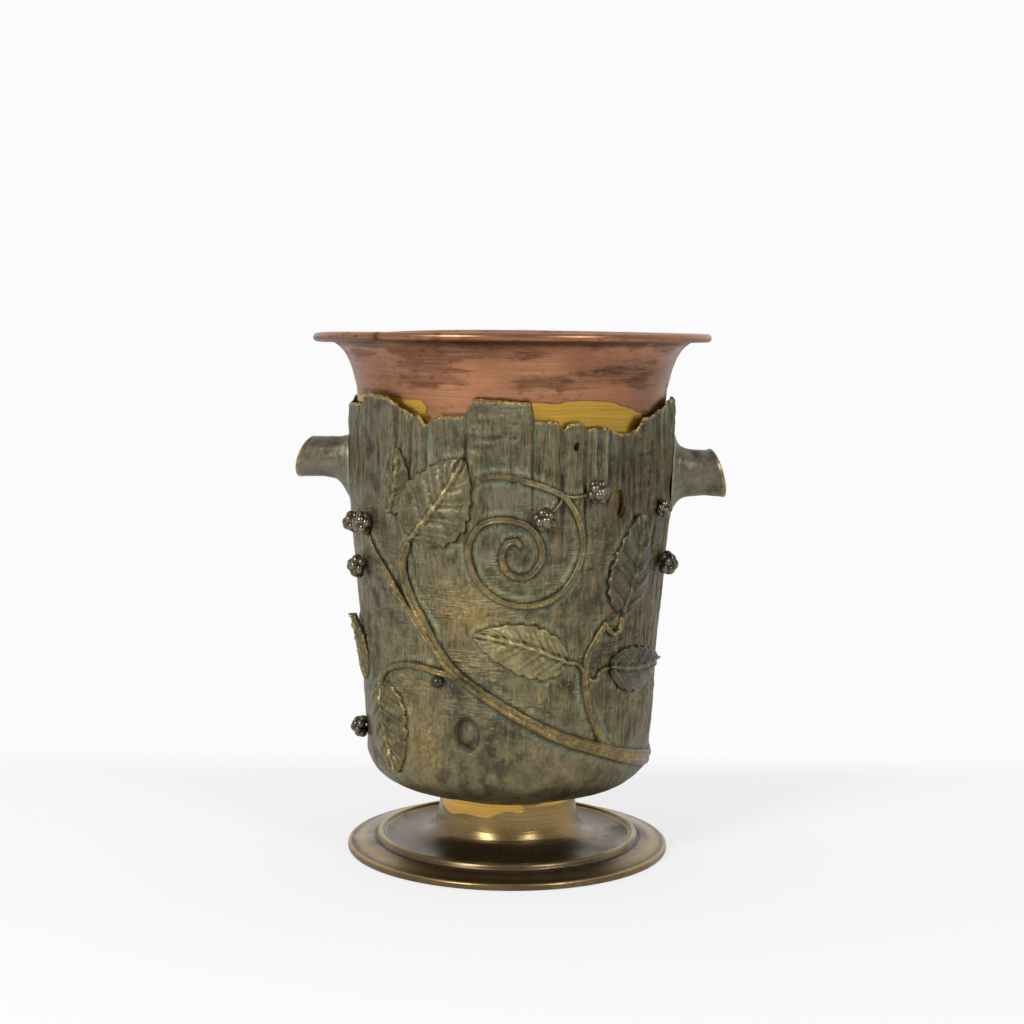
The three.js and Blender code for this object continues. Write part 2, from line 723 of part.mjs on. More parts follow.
// Tie bolt up from the foot: its head stands on the trunk's floor

const headTop = floorTop + seatGap + boltHeadHeight;
const webUnderside = footHeight - footWeb;
const washerBottom = webUnderside - seatGap - washerThickness;
const nutBottom = washerBottom - seatGap - nutHeight;

addPiece('tie_bolt', turned([
  [0, headTop],
  [boltHeadRadius * 0.7, headTop],
  [boltHeadRadius, headTop - boltHeadHeight * 0.5],
  [boltHeadRadius, floorTop + seatGap],
  [boltRadius, floorTop + seatGap],
  [boltRadius, nutBottom - boltTail],
  [0, nutBottom - boltTail],
], 16), steel);

addPiece('tie_washer', turned([
  [boltHole, washerBottom],
  [washerRadius, washerBottom],
  [washerRadius, washerBottom + washerThickness],
  [boltHole, washerBottom + washerThickness],
  [boltHole, washerBottom],
], 24), steel);

function hexNut() {
  const corner = nutAcrossFlats / Math.sqrt(3);
  const outline = new THREE.Shape();
  for (let i = 0; i < 6; i += 1) {
    const angle = (i * Math.PI) / 3;
    outline[i ? 'lineTo' : 'moveTo'](corner * Math.cos(angle), corner * Math.sin(angle));
  }
  outline.closePath();
  outline.holes.push(new THREE.Path().absarc(0, 0, boltHole, 0, 2 * Math.PI, true));
  const nut = new THREE.ExtrudeGeometry(outline, { depth: nutHeight, bevelEnabled: false, curveSegments: 8 });
  nut.translate(0, 0, nutBottom);
  return bare(nut);
}

addPiece('tie_nut', hexNut(), steel);

// Liner: the underside of the sheet from the middle of its bottom to the end of the rolled rim

// The flare: [depth below the rim's top, share of the way from the body out to the bead].
const flare = [[30, 0.01], [24.4, 0.08], [18.7, 0.145], [12.6, 0.25], [7.6, 0.4], [4.3, 0.6], [2.3, 0.86]];
const beadCentre = rimRadius - beadRadius;
const wireRoom = beadRadius - copperThickness;
const mouthBore = boreRadius(trunkTop) - linerRoom;

function linerUnderside() {
  const dome = boltHeadHeight + domeRoom;
  const points = [[0, linerBase + dome], [linerRingInner * 0.4, linerBase + dome * 0.72]];
  points.push([linerRingInner * 0.75, linerBase + dome * 0.16]);
  points.push([linerRingInner, linerBase], [linerRingOuter, linerBase]);
  const shoulder = boreRadius(bowlTop) - linerRoom;
  for (const turn of [38, 66]) {
    const radius = linerRingOuter + (shoulder - linerRingOuter) * Math.sin(radians(turn));
    points.push([radius, bowlTop - (bowlTop - linerBase) * Math.cos(radians(turn))]);
  }
  const neckHeight = rimTop - flare[0][0];
  for (const share of [0, 0.25, 0.6]) {
    const z = bowlTop + (neckHeight - bowlTop) * share;
    points.push([boreRadius(z) - linerRoom, z]);
  }
  for (const [depth, share] of flare) {
    points.push([mouthBore + (beadCentre - mouthBore) * share, rimTop - depth]);
  }
  const bead = arc(beadCentre, rimTop - beadRadius, wireRoom, 105, -165, 6);
  return [...points, ...bead];
}

// The sheet's other face: every point moved square to the line by the thickness, on its left.
function sheetProfile(line, thickness) {
  const other = line.map(([radius, height], i) => {
    const before = line[Math.max(0, i - 1)];
    const after = line[Math.min(line.length - 1, i + 1)];
    const slope = new THREE.Vector2(after[0] - before[0], after[1] - before[1]).normalize();
    return [i === 0 ? 0 : radius - slope.y * thickness, height + (i === 0 ? 1 : slope.x) * thickness];
  });
  return [...line, ...other.reverse()];
}

addPiece('liner_vessel', turned(sheetProfile(linerUnderside(), copperThickness)), copper, liner);

const wireRadius = wireRoom - seatGap;
addPiece('rim_wire', turned(arc(beadCentre, rimTop - beadRadius, wireRadius, 0, 360, 6)), steel, liner);

export default vase;
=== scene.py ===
# %% [markdown]
# A bronze vase cast as the trunk of a tree, on a turned brass foot, with a spun copper liner.
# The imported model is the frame: every piece below is made in the same place and in metres, and
# replaces the plain solid of the same name. Sizes are written in millimetres and turned at the end.

# %% Frame and packages
from math import cos, pi, radians, sin

import bpy
import numpy as np
from mathutils import Matrix, Vector


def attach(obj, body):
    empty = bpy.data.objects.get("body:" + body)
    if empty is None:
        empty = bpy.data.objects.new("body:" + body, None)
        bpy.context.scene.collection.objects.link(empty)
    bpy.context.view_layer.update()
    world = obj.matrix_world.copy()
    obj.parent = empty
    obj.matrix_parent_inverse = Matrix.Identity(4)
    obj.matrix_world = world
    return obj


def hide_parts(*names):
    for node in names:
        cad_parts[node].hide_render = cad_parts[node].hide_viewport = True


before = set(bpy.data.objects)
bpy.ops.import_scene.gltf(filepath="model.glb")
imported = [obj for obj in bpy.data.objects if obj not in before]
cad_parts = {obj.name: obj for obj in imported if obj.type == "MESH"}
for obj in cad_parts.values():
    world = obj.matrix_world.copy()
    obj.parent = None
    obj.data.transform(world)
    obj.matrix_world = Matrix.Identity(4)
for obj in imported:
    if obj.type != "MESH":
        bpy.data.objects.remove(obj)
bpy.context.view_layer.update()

MM = 0.001

# %% [markdown]
# The camera stands where the photograph's camera stood, a little above the rim and looking down
# six degrees. Its place and lens come from the ellipses of the rim and the foot. It is rolled by a
# hair, so it is given as three axes in a matrix instead of angles.

# %% Camera
CAMERA_PLACE = Vector((0.0007, -0.957, 0.2717))
CAMERA_PITCH = 0.103
CAMERA_ROLL = radians(0.6)
LENS = 66.5


def make_camera():
    data = bpy.data.cameras.new("camera")
    data.lens = LENS
    data.sensor_width = 36
    camera = bpy.data.objects.new("camera", data)
    forward = Vector((0, cos(CAMERA_PITCH), -sin(CAMERA_PITCH)))
    up = Vector((0, sin(CAMERA_PITCH), cos(CAMERA_PITCH)))
    right = Vector((1, 0, 0))
    across = right * cos(CAMERA_ROLL) + up * sin(CAMERA_ROLL)
    over = up * cos(CAMERA_ROLL) - right * sin(CAMERA_ROLL)
    turned = Matrix((across, over, -forward)).transposed().to_4x4()
    camera.matrix_world = Matrix.Translation(CAMERA_PLACE) @ turned
    bpy.context.scene.collection.objects.link(camera)
    bpy.context.scene.camera = camera
    return camera


make_camera()
bpy.context.scene.view_settings.view_transform = "Standard"

# %% [markdown]
# Colours are written as the hex values that an eye reads off a screen. Blender works in linear
# light, so one function converts them. Another adds a node with its settings and links, which
# keeps every material below down to a few lines.

# %% Colours and nodes


def colour(code):
    parts = [int(code[i:i + 2], 16) / 255 for i in (1, 3, 5)]
    linear = [p / 12.92 if p <= 0.04045 else ((p + 0.055) / 1.055) ** 2.4 for p in parts]
    return (*linear, 1)


def add(tree, kind, inputs=None, **settings):
    node = tree.nodes.new(kind)
    for name, value in settings.items():
        setattr(node, name, value)
    for socket, value in (inputs or {}).items():
        if isinstance(value, bpy.types.NodeSocket):
            tree.links.new(value, node.inputs[socket])
        else:
            node.inputs[socket].default_value = value
    return node


def new_material(name):
    material = bpy.data.materials.new(name)
    material.use_nodes = True
    material.node_tree.nodes.clear()
    return material, material.node_tree


def mixed(tree, amount, first, second):
    return add(tree, "ShaderNodeMix", {0: amount, 6: first, 7: second}, data_type="RGBA").outputs[2]


def stepped(tree, value, low, high, to_low=0.0, to_high=1.0):
    inputs = {"Value": value, "From Min": low, "From Max": high, "To Min": to_low, "To Max": to_high}
    return add(tree, "ShaderNodeMapRange", inputs).outputs[0]


def product(tree, first, second):
    return add(tree, "ShaderNodeMath", {0: first, 1: second}, operation="MULTIPLY").outputs[0]


def grain(tree, size_mm, stretch=(1, 1, 1), detail=4.0):
    """A noise whose blotches are about size_mm across, longer along an axis where stretch is more."""
    place = add(tree, "ShaderNodeTexCoord").outputs["Object"]
    scale = tuple(1 / (size_mm * MM * s) for s in stretch)
    placed = add(tree, "ShaderNodeMapping", {"Vector": place, "Scale": scale}).outputs[0]
    return add(tree, "ShaderNodeTexNoise", {"Vector": placed, "Scale": 1.0, "Detail": detail}).outputs[0]


def attribute(tree, name):
    return add(tree, "ShaderNodeAttribute", attribute_name=name).outputs["Fac"]


# %% [markdown]
# The photograph is high key: a pale table, a white wall and soft light. The world is white behind
# the vase and darker behind the camera, which is what gives the metal its shape. Two soft boxes
# stand left and right of the camera, where the highlights on the foot's neck say they stood.

# %% Studio


def make_world():
    world = bpy.data.worlds.new("studio")
    world.use_nodes = True
    tree = world.node_tree
    tree.nodes.clear()
    direction = add(tree, "ShaderNodeTexCoord").outputs["Generated"]
    depth = add(tree, "ShaderNodeSeparateXYZ", {0: direction}).outputs[1]
    share = stepped(tree, depth, -0.5, 0.5)
    tint = mixed(tree, share, colour("#8c8c8c"), colour("#fbfbfb"))
    background = add(tree, "ShaderNodeBackground", {"Color": tint, "Strength": 1.0}).outputs[0]
    add(tree, "ShaderNodeOutputWorld", {"Surface": background})
    bpy.context.scene.world = world


def make_soft_box(name, azimuth, height, power, width):
    lamp = bpy.data.lights.new(name, "AREA")
    lamp.shape = "RECTANGLE"
    lamp.size = width
    lamp.size_y = 0.8
    lamp.energy = power
    box = bpy.data.objects.new(name, lamp)
    box.location = (1.5 * sin(radians(azimuth)), -1.5 * cos(radians(azimuth)), height)
    box.rotation_euler = (Vector((0, 0, 0.14)) - box.location).to_track_quat("-Z", "Y").to_euler()
    bpy.context.scene.collection.objects.link(box)


TABLE_BACK = 0.175


def make_floor():
    mesh = bpy.data.meshes.new("table")
    mesh.from_pydata([(-6, -6, 0), (6, -6, 0), (6, 6, 0), (-6, 6, 0)], [], [(0, 1, 2, 3)])
    floor = bpy.data.objects.new("table", mesh)
    bpy.context.scene.collection.objects.link(floor)
    material, tree = new_material("matt white table and wall")
    place = add(tree, "ShaderNodeTexCoord").outputs["Object"]
    depth = add(tree, "ShaderNodeSeparateXYZ", {0: place}).outputs[1]
    behind = stepped(tree, depth, TABLE_BACK - 0.03, TABLE_BACK + 0.03)
    seen = add(tree, "ShaderNodeLightPath").outputs["Is Camera Ray"]
    plain = add(tree, "ShaderNodeBsdfDiffuse", {"Color": colour("#f6f6f6")}).outputs[0]
    bright = add(tree, "ShaderNodeEmission", {"Color": colour("#f8f8f8"), "Strength": 1.0}).outputs[0]
    wall = add(tree, "ShaderNodeEmission", {"Color": colour("#fbfbfb"), "Strength": 1.0}).outputs[0]
    top = add(tree, "ShaderNodeMixShader", {0: product(tree, seen, 0.68), 1: plain, 2: bright}).outputs[0]
    surface = add(tree, "ShaderNodeMixShader", {0: product(tree, behind, seen), 1: top, 2: wall}).outputs[0]
    add(tree, "ShaderNodeOutputMaterial", {"Surface": surface})
    mesh.materials.append(material)


make_world()
make_soft_box("soft_box_left", -36, 0.95, 17, 0.4)
make_soft_box("soft_box_right", 38, 1.05, 9, 0.36)
make_floor()

# %% [markdown]
# Old cast bronze is brown-green and mostly matt. The pattern was combed before casting, so fine
# lines run up it in some places and across it in others. Rubbing brightens what stands proud to a
# dull gold and verdigris gathers in hollows. Crevices, the combed lines' hollows and the seams where
# parts meet are darkened, partly as soot and partly as painted shade. Each mesh carries those three
# as numbers per point, worked out from its own relief, and one recipe mixes the tones by them. The
# combed lines are about 1 mm apart and ten times as long, and the bowl below is left smoother.

# %% Bronze


def weighed(tree, first, second, share):
    return add(tree, "ShaderNodeMix", {0: share, 2: first, 3: second}).outputs[0]


def patina(name, tones, wear_tone, green_tone, rough, shine, combed, relief, grit):
    dark, middle, light = tones
    material, tree = new_material(name)
    upright = grain(tree, 1.0, (1, 1, 10), 4.0)
    level = grain(tree, 0.95, (7, 7, 1), 4.0)
    place = add(tree, "ShaderNodeTexCoord").outputs["Object"]
    up = add(tree, "ShaderNodeSeparateXYZ", {0: place}).outputs[2]
    crossed = stepped(tree, grain(tree, 21, (1, 1, 0.8)), 0.46, 0.56, 0.1, 0.75)
    crossed = product(tree, crossed, stepped(tree, up, 0.16, 0.19, 1.0, 0.25))
    lines = weighed(tree, upright, level, crossed)
    speckle = grain(tree, 1.7, (1, 1, 1.3), 5.0)
    combing = stepped(tree, up, 0.05, 0.085, combed * 0.35, combed)
    surface = weighed(tree, speckle, lines, combing)
    quiet = stepped(tree, up, 0.045, 0.08, 0.25, 1.0)
    proud = product(tree, stepped(tree, surface, 0.52, 0.63, 0.0, grit), quiet)
    sunk = product(tree, stepped(tree, surface, 0.49, 0.39, 0.0, grit), quiet)
    broad = stepped(tree, grain(tree, 30), 0.38, 0.62)
    mottle = stepped(tree, grain(tree, 7, (1, 1, 1.2), 6.0), 0.4, 0.58)
    base = mixed(tree, broad, colour(dark), colour(middle))
    base = mixed(tree, product(tree, mottle, 0.3 + 0.25 * grit), base, colour(light))
    greyer = product(tree, mottle, stepped(tree, up, 0.14, 0.2, 0.0, 0.5))
    base = mixed(tree, greyer, base, colour("#6c6759"))
    light_share = product(tree, proud, stepped(tree, up, 0.15, 0.19, 0.6, 0.34))
    base = mixed(tree, light_share, base, colour(light))
    gold_patch = stepped(tree, grain(tree, 26), 0.52, 0.64, 0.05, 1.0)
    gold_patch = product(tree, gold_patch, stepped(tree, up, 0.15, 0.19, 1.0, 0.14))
    base = mixed(tree, product(tree, product(tree, proud, gold_patch), 0.6), base, colour(wear_tone))
    green_patch = stepped(tree, grain(tree, 17), 0.42, 0.6, 0.3, 1.0)
    film = stepped(tree, product(tree, sunk, green_patch), 0.0, 1.0, 0.0, 0.16)
    verdigris = product(tree, attribute(tree, "hollow"), green_patch)
    greened = add(tree, "ShaderNodeMath", {0: verdigris, 1: film}).outputs[0]
    base = mixed(tree, greened, base, colour(green_tone))
    # Dark patina and painted shade in the sunken lines of the combed grain.
    base = mixed(tree, product(tree, sunk, 0.62), base, colour("#2a271b"))
    # Soot and painted shade: this mark darkens crevices, grooves, the lines where parts meet the bark and
    # the undersides of parts.
    base = mixed(tree, product(tree, attribute(tree, "soot_and_shade"), 0.85), base, colour("#1f1c14"))
    rubbed = product(tree, attribute(tree, "wear"), stepped(tree, speckle, 0.36, 0.6, 0.25, 1.0))
    base = mixed(tree, rubbed, base, colour(wear_tone))
    roughness = stepped(tree, rubbed, 0.0, 1.0, rough, rough - 0.2)
    inputs = {"Height": product(tree, surface, quiet), "Strength": relief, "Distance": 0.0018}
    bump = add(tree, "ShaderNodeBump", inputs).outputs[0]
    inputs = {"Base Color": base, "Metallic": shine, "Roughness": roughness, "Normal": bump}
    shader = add(tree, "ShaderNodeBsdfPrincipled", inputs).outputs[0]
    add(tree, "ShaderNodeOutputMaterial", {"Surface": shader})
    return material


BARK = patina("cast bronze bark, brown green patina", ("#3b3527", "#5d543c", "#857a5b"),
              "#b3954e", "#93a688", 0.42, 0.66, 0.72, 1.0, 1.0)
STUB = patina("cast bronze branch stub, smooth", ("#474133", "#6f6753", "#908871"),
              "#b39a5e", "#93a688", 0.42, 0.6, 0.1, 0.16, 0.4)
STEM = patina("cast bronze stem, rubbed", ("#3a3326", "#5c5033", "#81704a"),
              "#b89a58", "#73826a", 0.36, 0.72, 0.15, 0.4, 0.5)
PALE_LEAF = patina("cast bronze leaf, pale and rubbed", ("#4b4530", "#776e49", "#a2986a"),
                   "#c9b074", "#74836a", 0.36, 0.66, 0.15, 0.4, 0.4)
LEAF = patina("cast bronze leaf, rubbed", ("#3f3928", "#62593b", "#897d59"),
              "#c2a768", "#74836a", 0.36, 0.7, 0.15, 0.4, 0.4)
DARK_LEAF = patina("cast bronze leaf, dark", ("#35312a", "#4e483a", "#6d654f"),
                   "#978459", "#56604f", 0.33, 0.68, 0.15, 0.4, 0.4)
BERRY = patina("cast bronze berry, dark and polished by touch", ("#332e24", "#4b4435", "#665c47"),
               "#a3977e", "#55624e", 0.24, 0.8, 0.0, 0.12, 0.2)

# %% [markdown]
# Copper and brass keep the marks of the lathe that spun and turned them: fine rings round the
# axis. A noise squeezed along the axis draws them. The copper is stained brown in clouds that the
# polishing rag has dragged sideways, and a stroke of bright lacquer with a ragged edge is left on
# it near the trunk's mouth, as on the foot's neck. Lower down, where no rag goes, it is dull.

# %% Copper and brass


def spun(name, tones, stain, gilt, rough, stain_edge, stain_blur):
    material, tree = new_material(name)
    broad = stepped(tree, grain(tree, 30, (1, 1, 0.7)), 0.38, 0.62)
    rings = stepped(tree, grain(tree, 0.9, (34, 34, 1), 3.0), 0.32, 0.68)
    base = mixed(tree, broad, colour(tones[0]), colour(tones[1]))
    base = mixed(tree, product(tree, rings, 0.45), base, colour(tones[2]))
    cloud = grain(tree, 24, (1.4, 1.4, 0.5), 9.0)
    ragged = weighed(tree, cloud, grain(tree, 2.2, (14, 14, 1), 4.0), 0.3)
    stained = stepped(tree, ragged, stain_edge - 0.01, stain_edge - 0.01 + stain_blur)
    stained = product(tree, stained, stepped(tree, rings, 0.1, 0.9, 1.0, 0.45))
    stained = product(tree, stained, stepped(tree, attribute(tree, "hollow"), 0.0, 1.0, 0.75, 0.0))
    base = mixed(tree, stained, base, colour(stain))
    specks = stepped(tree, grain(tree, 1.6, (2.4, 2.4, 1), 6.0), 0.54, 0.64)
    base = mixed(tree, product(tree, specks, stepped(tree, cloud, 0.4, 0.6, 0.1, 0.6)), base, colour(stain))
    dull = attribute(tree, "dull")
    dull_share = product(tree, dull, stepped(tree, ragged, 0.42, 0.58, 0.9, 0.5))
    base = mixed(tree, dull_share, base, colour("#a87653"))
    torn = add(tree, "ShaderNodeMath", {0: attribute(tree, "gilt"), 1: ragged}).outputs[0]
    base = mixed(tree, stepped(tree, torn, 0.9, 0.95, 0.0, 0.7), base, colour(stain))
    gilded = stepped(tree, torn, 0.96, 1.02)
    lacquer = product(tree, gilded, stepped(tree, rings, 0.0, 1.0, 0.95, 0.62))
    base = mixed(tree, lacquer, base, colour(gilt))
    base = mixed(tree, attribute(tree, "wear"), base, colour("#c4a35c"))
    # Soot and painted shade: darkens the foot's grooves and a band under the rim's bead, besides soot
    # clouds and dark marks at nicks.
    base = mixed(tree, attribute(tree, "soot_and_shade"), base, colour("#2b2018"))
    dulled = add(tree, "ShaderNodeMath", {0: stained, 1: attribute(tree, "soot_and_shade")}).outputs[0]
    dulled = add(tree, "ShaderNodeMath", {0: dulled, 1: dull}).outputs[0]
    metallic = stepped(tree, dull, 0.0, 1.0, 0.9, 0.4)
    roughness = stepped(tree, dulled, 0.0, 1.0, rough, rough + 0.24)
    bump = add(tree, "ShaderNodeBump", {"Height": rings, "Strength": 0.25, "Distance": 0.0002}).outputs[0]
    inputs = {"Base Color": base, "Metallic": metallic, "Roughness": roughness, "Normal": bump}
    shader = add(tree, "ShaderNodeBsdfPrincipled", inputs).outputs[0]
    add(tree, "ShaderNodeOutputMaterial", {"Surface": shader})
    return material


COPPER = spun("spun copper, toned", ("#96694d", "#ab7757", "#7d563f"),
              "#573a2b", "#cca23e", 0.31, 0.52, 0.06)
BRASS = spun("turned brass, toned brown", ("#6b5a42", "#877457", "#574833"),
             "#4a3c2e", "#deaa4a", 0.27, 0.53, 0.12)
STEEL = spun("plain steel, dull", ("#77787a", "#8c8d90", "#66676a"),
             "#5c5148", "#8c8d90", 0.42, 0.6, 0.09)

# %% [markdown]
# The wall of the trunk is a rule: a radius for every height. The same points as in the packed
# solid are repeated here, so each ornament can be laid on the bark by an angle and a height.

# %% Wall of the trunk
FOOT_HEIGHT = 30.0
TRUNK_BASE = 30.3
TRUNK_HEIGHT = 204.3
TRUNK_TOP = TRUNK_BASE + TRUNK_HEIGHT
TRUNK_RADIUS = 83.2
TRUNK_TAPER = 10.8
BOWL_FLAT_RADIUS = 44.0
BOWL_FLAT = TRUNK_BASE + 3.8
BOWL_TOP = BOWL_FLAT + 19.0
FLOOR_TOP = BOWL_FLAT + 3.2
WALL = 2.8
SHOULDER = TRUNK_RADIUS - TRUNK_TAPER
TAPER_UP = [0, 0.13, 0.24, 0.4, 0.57, 0.68, 0.82, 1]
TAPER_LEFT = [1, 0.88, 0.76, 0.59, 0.35, 0.15, 0.04, 0]


def eased(x, low, high):
    share = np.clip((np.asarray(x, float) - low) / (high - low), 0, 1)
    return share * share * (3 - 2 * share)


def bark_radius(z, inset=0.0, floor=BOWL_FLAT):
    z = np.asarray(z, float)
    share = (z - BOWL_TOP) / (TRUNK_TOP - BOWL_TOP)
    left = sum(np.interp(share + d, TAPER_UP, TAPER_LEFT) for d in (-0.04, -0.02, 0, 0.02, 0.04)) / 5
    down = np.clip((BOWL_TOP - z) / (BOWL_TOP - floor), 0, 1)
    bowl = BOWL_FLAT_RADIUS + (SHOULDER - BOWL_FLAT_RADIUS) * np.sqrt(1 - down * down)
    return np.where(z >= BOWL_TOP, TRUNK_RADIUS - TRUNK_TAPER * left, bowl) - inset


def percent_up(percent):
    return TRUNK_BASE + TRUNK_HEIGHT * np.asarray(percent, float) / 100


def around(radius, angle, z):
    turn = np.radians(angle)
    return np.stack(np.broadcast_arrays(radius * np.sin(turn), -radius * np.cos(turn), z), axis=-1)


print("wall radius at the mouth and above the bowl:", bark_radius([TRUNK_TOP, BOWL_TOP]).round(1))

# %% [markdown]
# Everything cast or turned here is a skin over loops of points, so one function makes them all:
# it joins each loop to the next and either closes on itself or ends in a point at each end.

# %% Skins


def skin(name, loops, material, body, nodes, marks=None, endless=False):
    loops = np.asarray(loops, float)
    rows, count = loops.shape[:2]
    spans = rows if endless else rows - 1
    row = np.arange(spans)[:, None]
    col = np.arange(count)[None, :]
    after = (row + 1) % rows
    beside = (col + 1) % count
    quads = np.stack(np.broadcast_arrays(
        row * count + col, row * count + beside, after * count + beside, after * count + col), -1)
    points = loops.reshape(-1, 3)
    faces = quads.reshape(-1, 4).tolist()
    if not endless:
        points = np.vstack([points, loops[0].mean(0), loops[-1].mean(0)])
        last = (rows - 1) * count
        faces += [(len(points) - 2, (i + 1) % count, i) for i in range(count)]
        faces += [(len(points) - 1, last + i, last + (i + 1) % count) for i in range(count)]
    mesh = bpy.data.meshes.new(name)
    mesh.from_pydata((points * MM).tolist(), [], faces)
    corners = points[np.array([f[:3] for f in faces])]
    volume = np.einsum("ij,ij->i", corners[:, 0], np.cross(corners[:, 1], corners[:, 2])).sum()
    if volume < 0:
        mesh.flip_normals()
    for mark in ("wear", "hollow", "soot_and_shade", "gilt", "dull"):
        values = np.zeros(len(points), np.float32)
        if marks and mark in marks:
            values[:rows * count] = np.clip(marks[mark], 0, 1).reshape(-1)
        mesh.attributes.new(mark, "FLOAT", "POINT").data.foreach_set("value", values)
    mesh.shade_smooth()
    return finish_piece(name, mesh, material, body, nodes)


def finish_piece(name, mesh, material, body, nodes):
    mesh.materials.append(material)
    piece = bpy.data.objects.new(name, mesh)
    bpy.context.scene.collection.objects.link(piece)
    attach(piece, body)
    if nodes:
        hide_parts(*nodes)
    print(name, len(mesh.polygons), "faces")
    return piece


def ripple(angle, z, across_mm, along_mm, seed):
    """Smooth random relief from -1 to 1: lumps of the given width round the trunk and height up it."""
    pick = np.random.default_rng(seed)
    columns = max(4, round(2 * pi * TRUNK_RADIUS / across_mm))
    rows = max(4, round(300 / along_mm))
    lattice = pick.uniform(-1, 1, (columns, rows))
    u = (np.asarray(angle, float) / 360 % 1) * columns
    v = np.clip(np.asarray(z, float) / 300, 0, 0.999) * (rows - 1)
    i, j = np.floor(u).astype(int), np.floor(v).astype(int)
    fu, fv = u - i, v - j
    fu, fv = fu * fu * (3 - 2 * fu), fv * fv * (3 - 2 * fv)
    i0, i1, j1 = i % columns, (i + 1) % columns, np.minimum(j + 1, rows - 1)
    low = lattice[i0, j] * (1 - fu) + lattice[i1, j] * fu
    high = lattice[i0, j1] * (1 - fu) + lattice[i1, j1] * fu
    return low * (1 - fv) + high * fv

# %% [markdown]
# The bramble is laid on the bark: each stem is a short list of points, an angle from the
# front and a percentage of the trunk's height. Stems are D-shaped, thick and double-ridged where
# old, and they swell at their joints. The same points place the plain solids of the frame.

# %% Stems
STEMS = {
    "main_vine": ([[97, 8.2], [80, 9.6], [53, 13.2], [38, 16.2], [20, 20.2], [4.4, 25.4], [-10.4, 31.3],
                   [-21.1, 36.6], [-27.4, 41.8], [-32.2, 47.4], [-37.2, 53.1], [-39.6, 57.7],
                   [-39.6, 61.5], [-36.4, 66]], (8.6, 5.0), (3.7, 2.6), 0.5),
    "vine_outer_branch": ([[-19, 35.6], [-24, 39], [-29.8, 42.8], [-38.4, 49.9], [-46.8, 57.1],
                           [-54.6, 62.6], [-58, 66.6]], (4.8, 2.8), (3, 2), 0.3),
    "left_twig": ([[-15, 34], [-24, 35.2], [-36, 36.4], [-44.8, 35.6], [-52, 33.6], [-56, 30]],
                  (4, 3), (2.6, 2), 0.2),
    "right_stem": ([[46, 13.6], [43, 15.4], [36.2, 20], [31.4, 25.8], [28.8, 31.3], [28.4, 35.7],
                    [29.3, 39.7], [32.8, 43.6], [37, 47.6]], (5.6, 3.2), (3.2, 2.2), 0.3),
    "stalk_centre_leaf": ([[29, 33.6], [27.6, 36], [25, 37.9], [20, 38.4]], (3.2, 2.4), (2.8, 2), 0),
    "stalk_low_right_leaf": ([[28.6, 34.4], [31, 33.4], [33.6, 33.8], [35.4, 35.6], [39, 36.4]],
                             (3.2, 2.4), (2.8, 2.2), 0),
    "hooked_stalk": ([[36.3, 47.3], [37.6, 45.4], [40, 44.2], [43, 45.2], [44, 48.6]],
                     (3, 2.6), (2.8, 2.4), 0),
    "tendril_spiral": ([[-14.6, 79.4], [-9, 81.4], [-3.2, 82], [5, 80.8], [12, 79.2], [18, 77],
                        [22.6, 72.4], [24.9, 66.4], [23.6, 60.6], [19, 55.6], [12.6, 52.8],
                        [4.1, 51.9], [-4.6, 53.6], [-11.3, 57.8], [-14, 63.6], [-12.8, 67.8],
                        [-9, 70.9], [-3.4, 72], [2, 71.6], [7, 69.9], [10.2, 66.4], [10.4, 62.6],
                        [7.4, 59.4], [3, 58.6], [-1, 60], [-2.8, 63.2], [-1, 66.4], [2.2, 67],
                        [3.8, 65.2]], (3.2, 4), (1.6, 2.4), 0.35),
    "berry_stalk_left": ([[17.4, 77], [15, 74.6], [11, 72.6]], (1.8, 1.8), (1.5, 1.5), 0),
    "berry_stalk_right": ([[16.6, 78], [20, 77.2], [24, 77.4], [28, 78.2]], (1.8, 1.8), (1.5, 1.5), 0),
    "rear_vine": ([[99, 8.2], [118, 9.6], [136, 14], [152, 22], [166, 32], [176, 44], [182, 55],
                   [184.6, 66]], (7.4, 4.2), (3.6, 2.4), 0.5),
    "rear_branch": ([[163, 30], [166, 32], [178, 36], [192, 43], [205, 53], [216, 64]],
                    (4.4, 3), (2.8, 2), 0.3),
    "rear_stem": ([[136, 13.6], [134, 24], [130, 33], [126.6, 43]], (4.4, 3), (2.8, 2), 0.3),
}
STEM_STEP = 1.1
EDGES = []


def smooth_path(points, step):
    """Points a step apart on one smooth curve through the given angles and percentages."""
    knots = np.array([[radians(a) * TRUNK_RADIUS, percent_up(p)] for a, p in points])
    ends = np.vstack([2 * knots[0] - knots[1], knots, 2 * knots[-1] - knots[-2]])
    pieces = []
    for k in range(len(knots) - 1):
        p0, p1, p2, p3 = ends[k:k + 4]
        t = np.linspace(0, 1, 30, endpoint=False)[:, None]
        pieces.append(0.5 * (2 * p1 + (p2 - p0) * t + (2 * p0 - 5 * p1 + 4 * p2 - p3) * t**2
                             + (3 * p1 - p0 - 3 * p2 + p3) * t**3))
    fine = np.vstack([*pieces, knots[-1:]])
    length = np.concatenate([[0], np.cumsum(np.linalg.norm(np.diff(fine, axis=0), axis=1))])
    wanted = np.linspace(0, length[-1], max(6, round(length[-1] / step)))
    return np.stack([np.interp(wanted, length, fine[:, i]) for i in (0, 1)], -1)


def lay_on_bark(east, height, lift):
    """East is millimetres round the trunk at its mouth's radius."""
    return around(bark_radius(height) + lift, np.degrees(east / TRUNK_RADIUS), height)


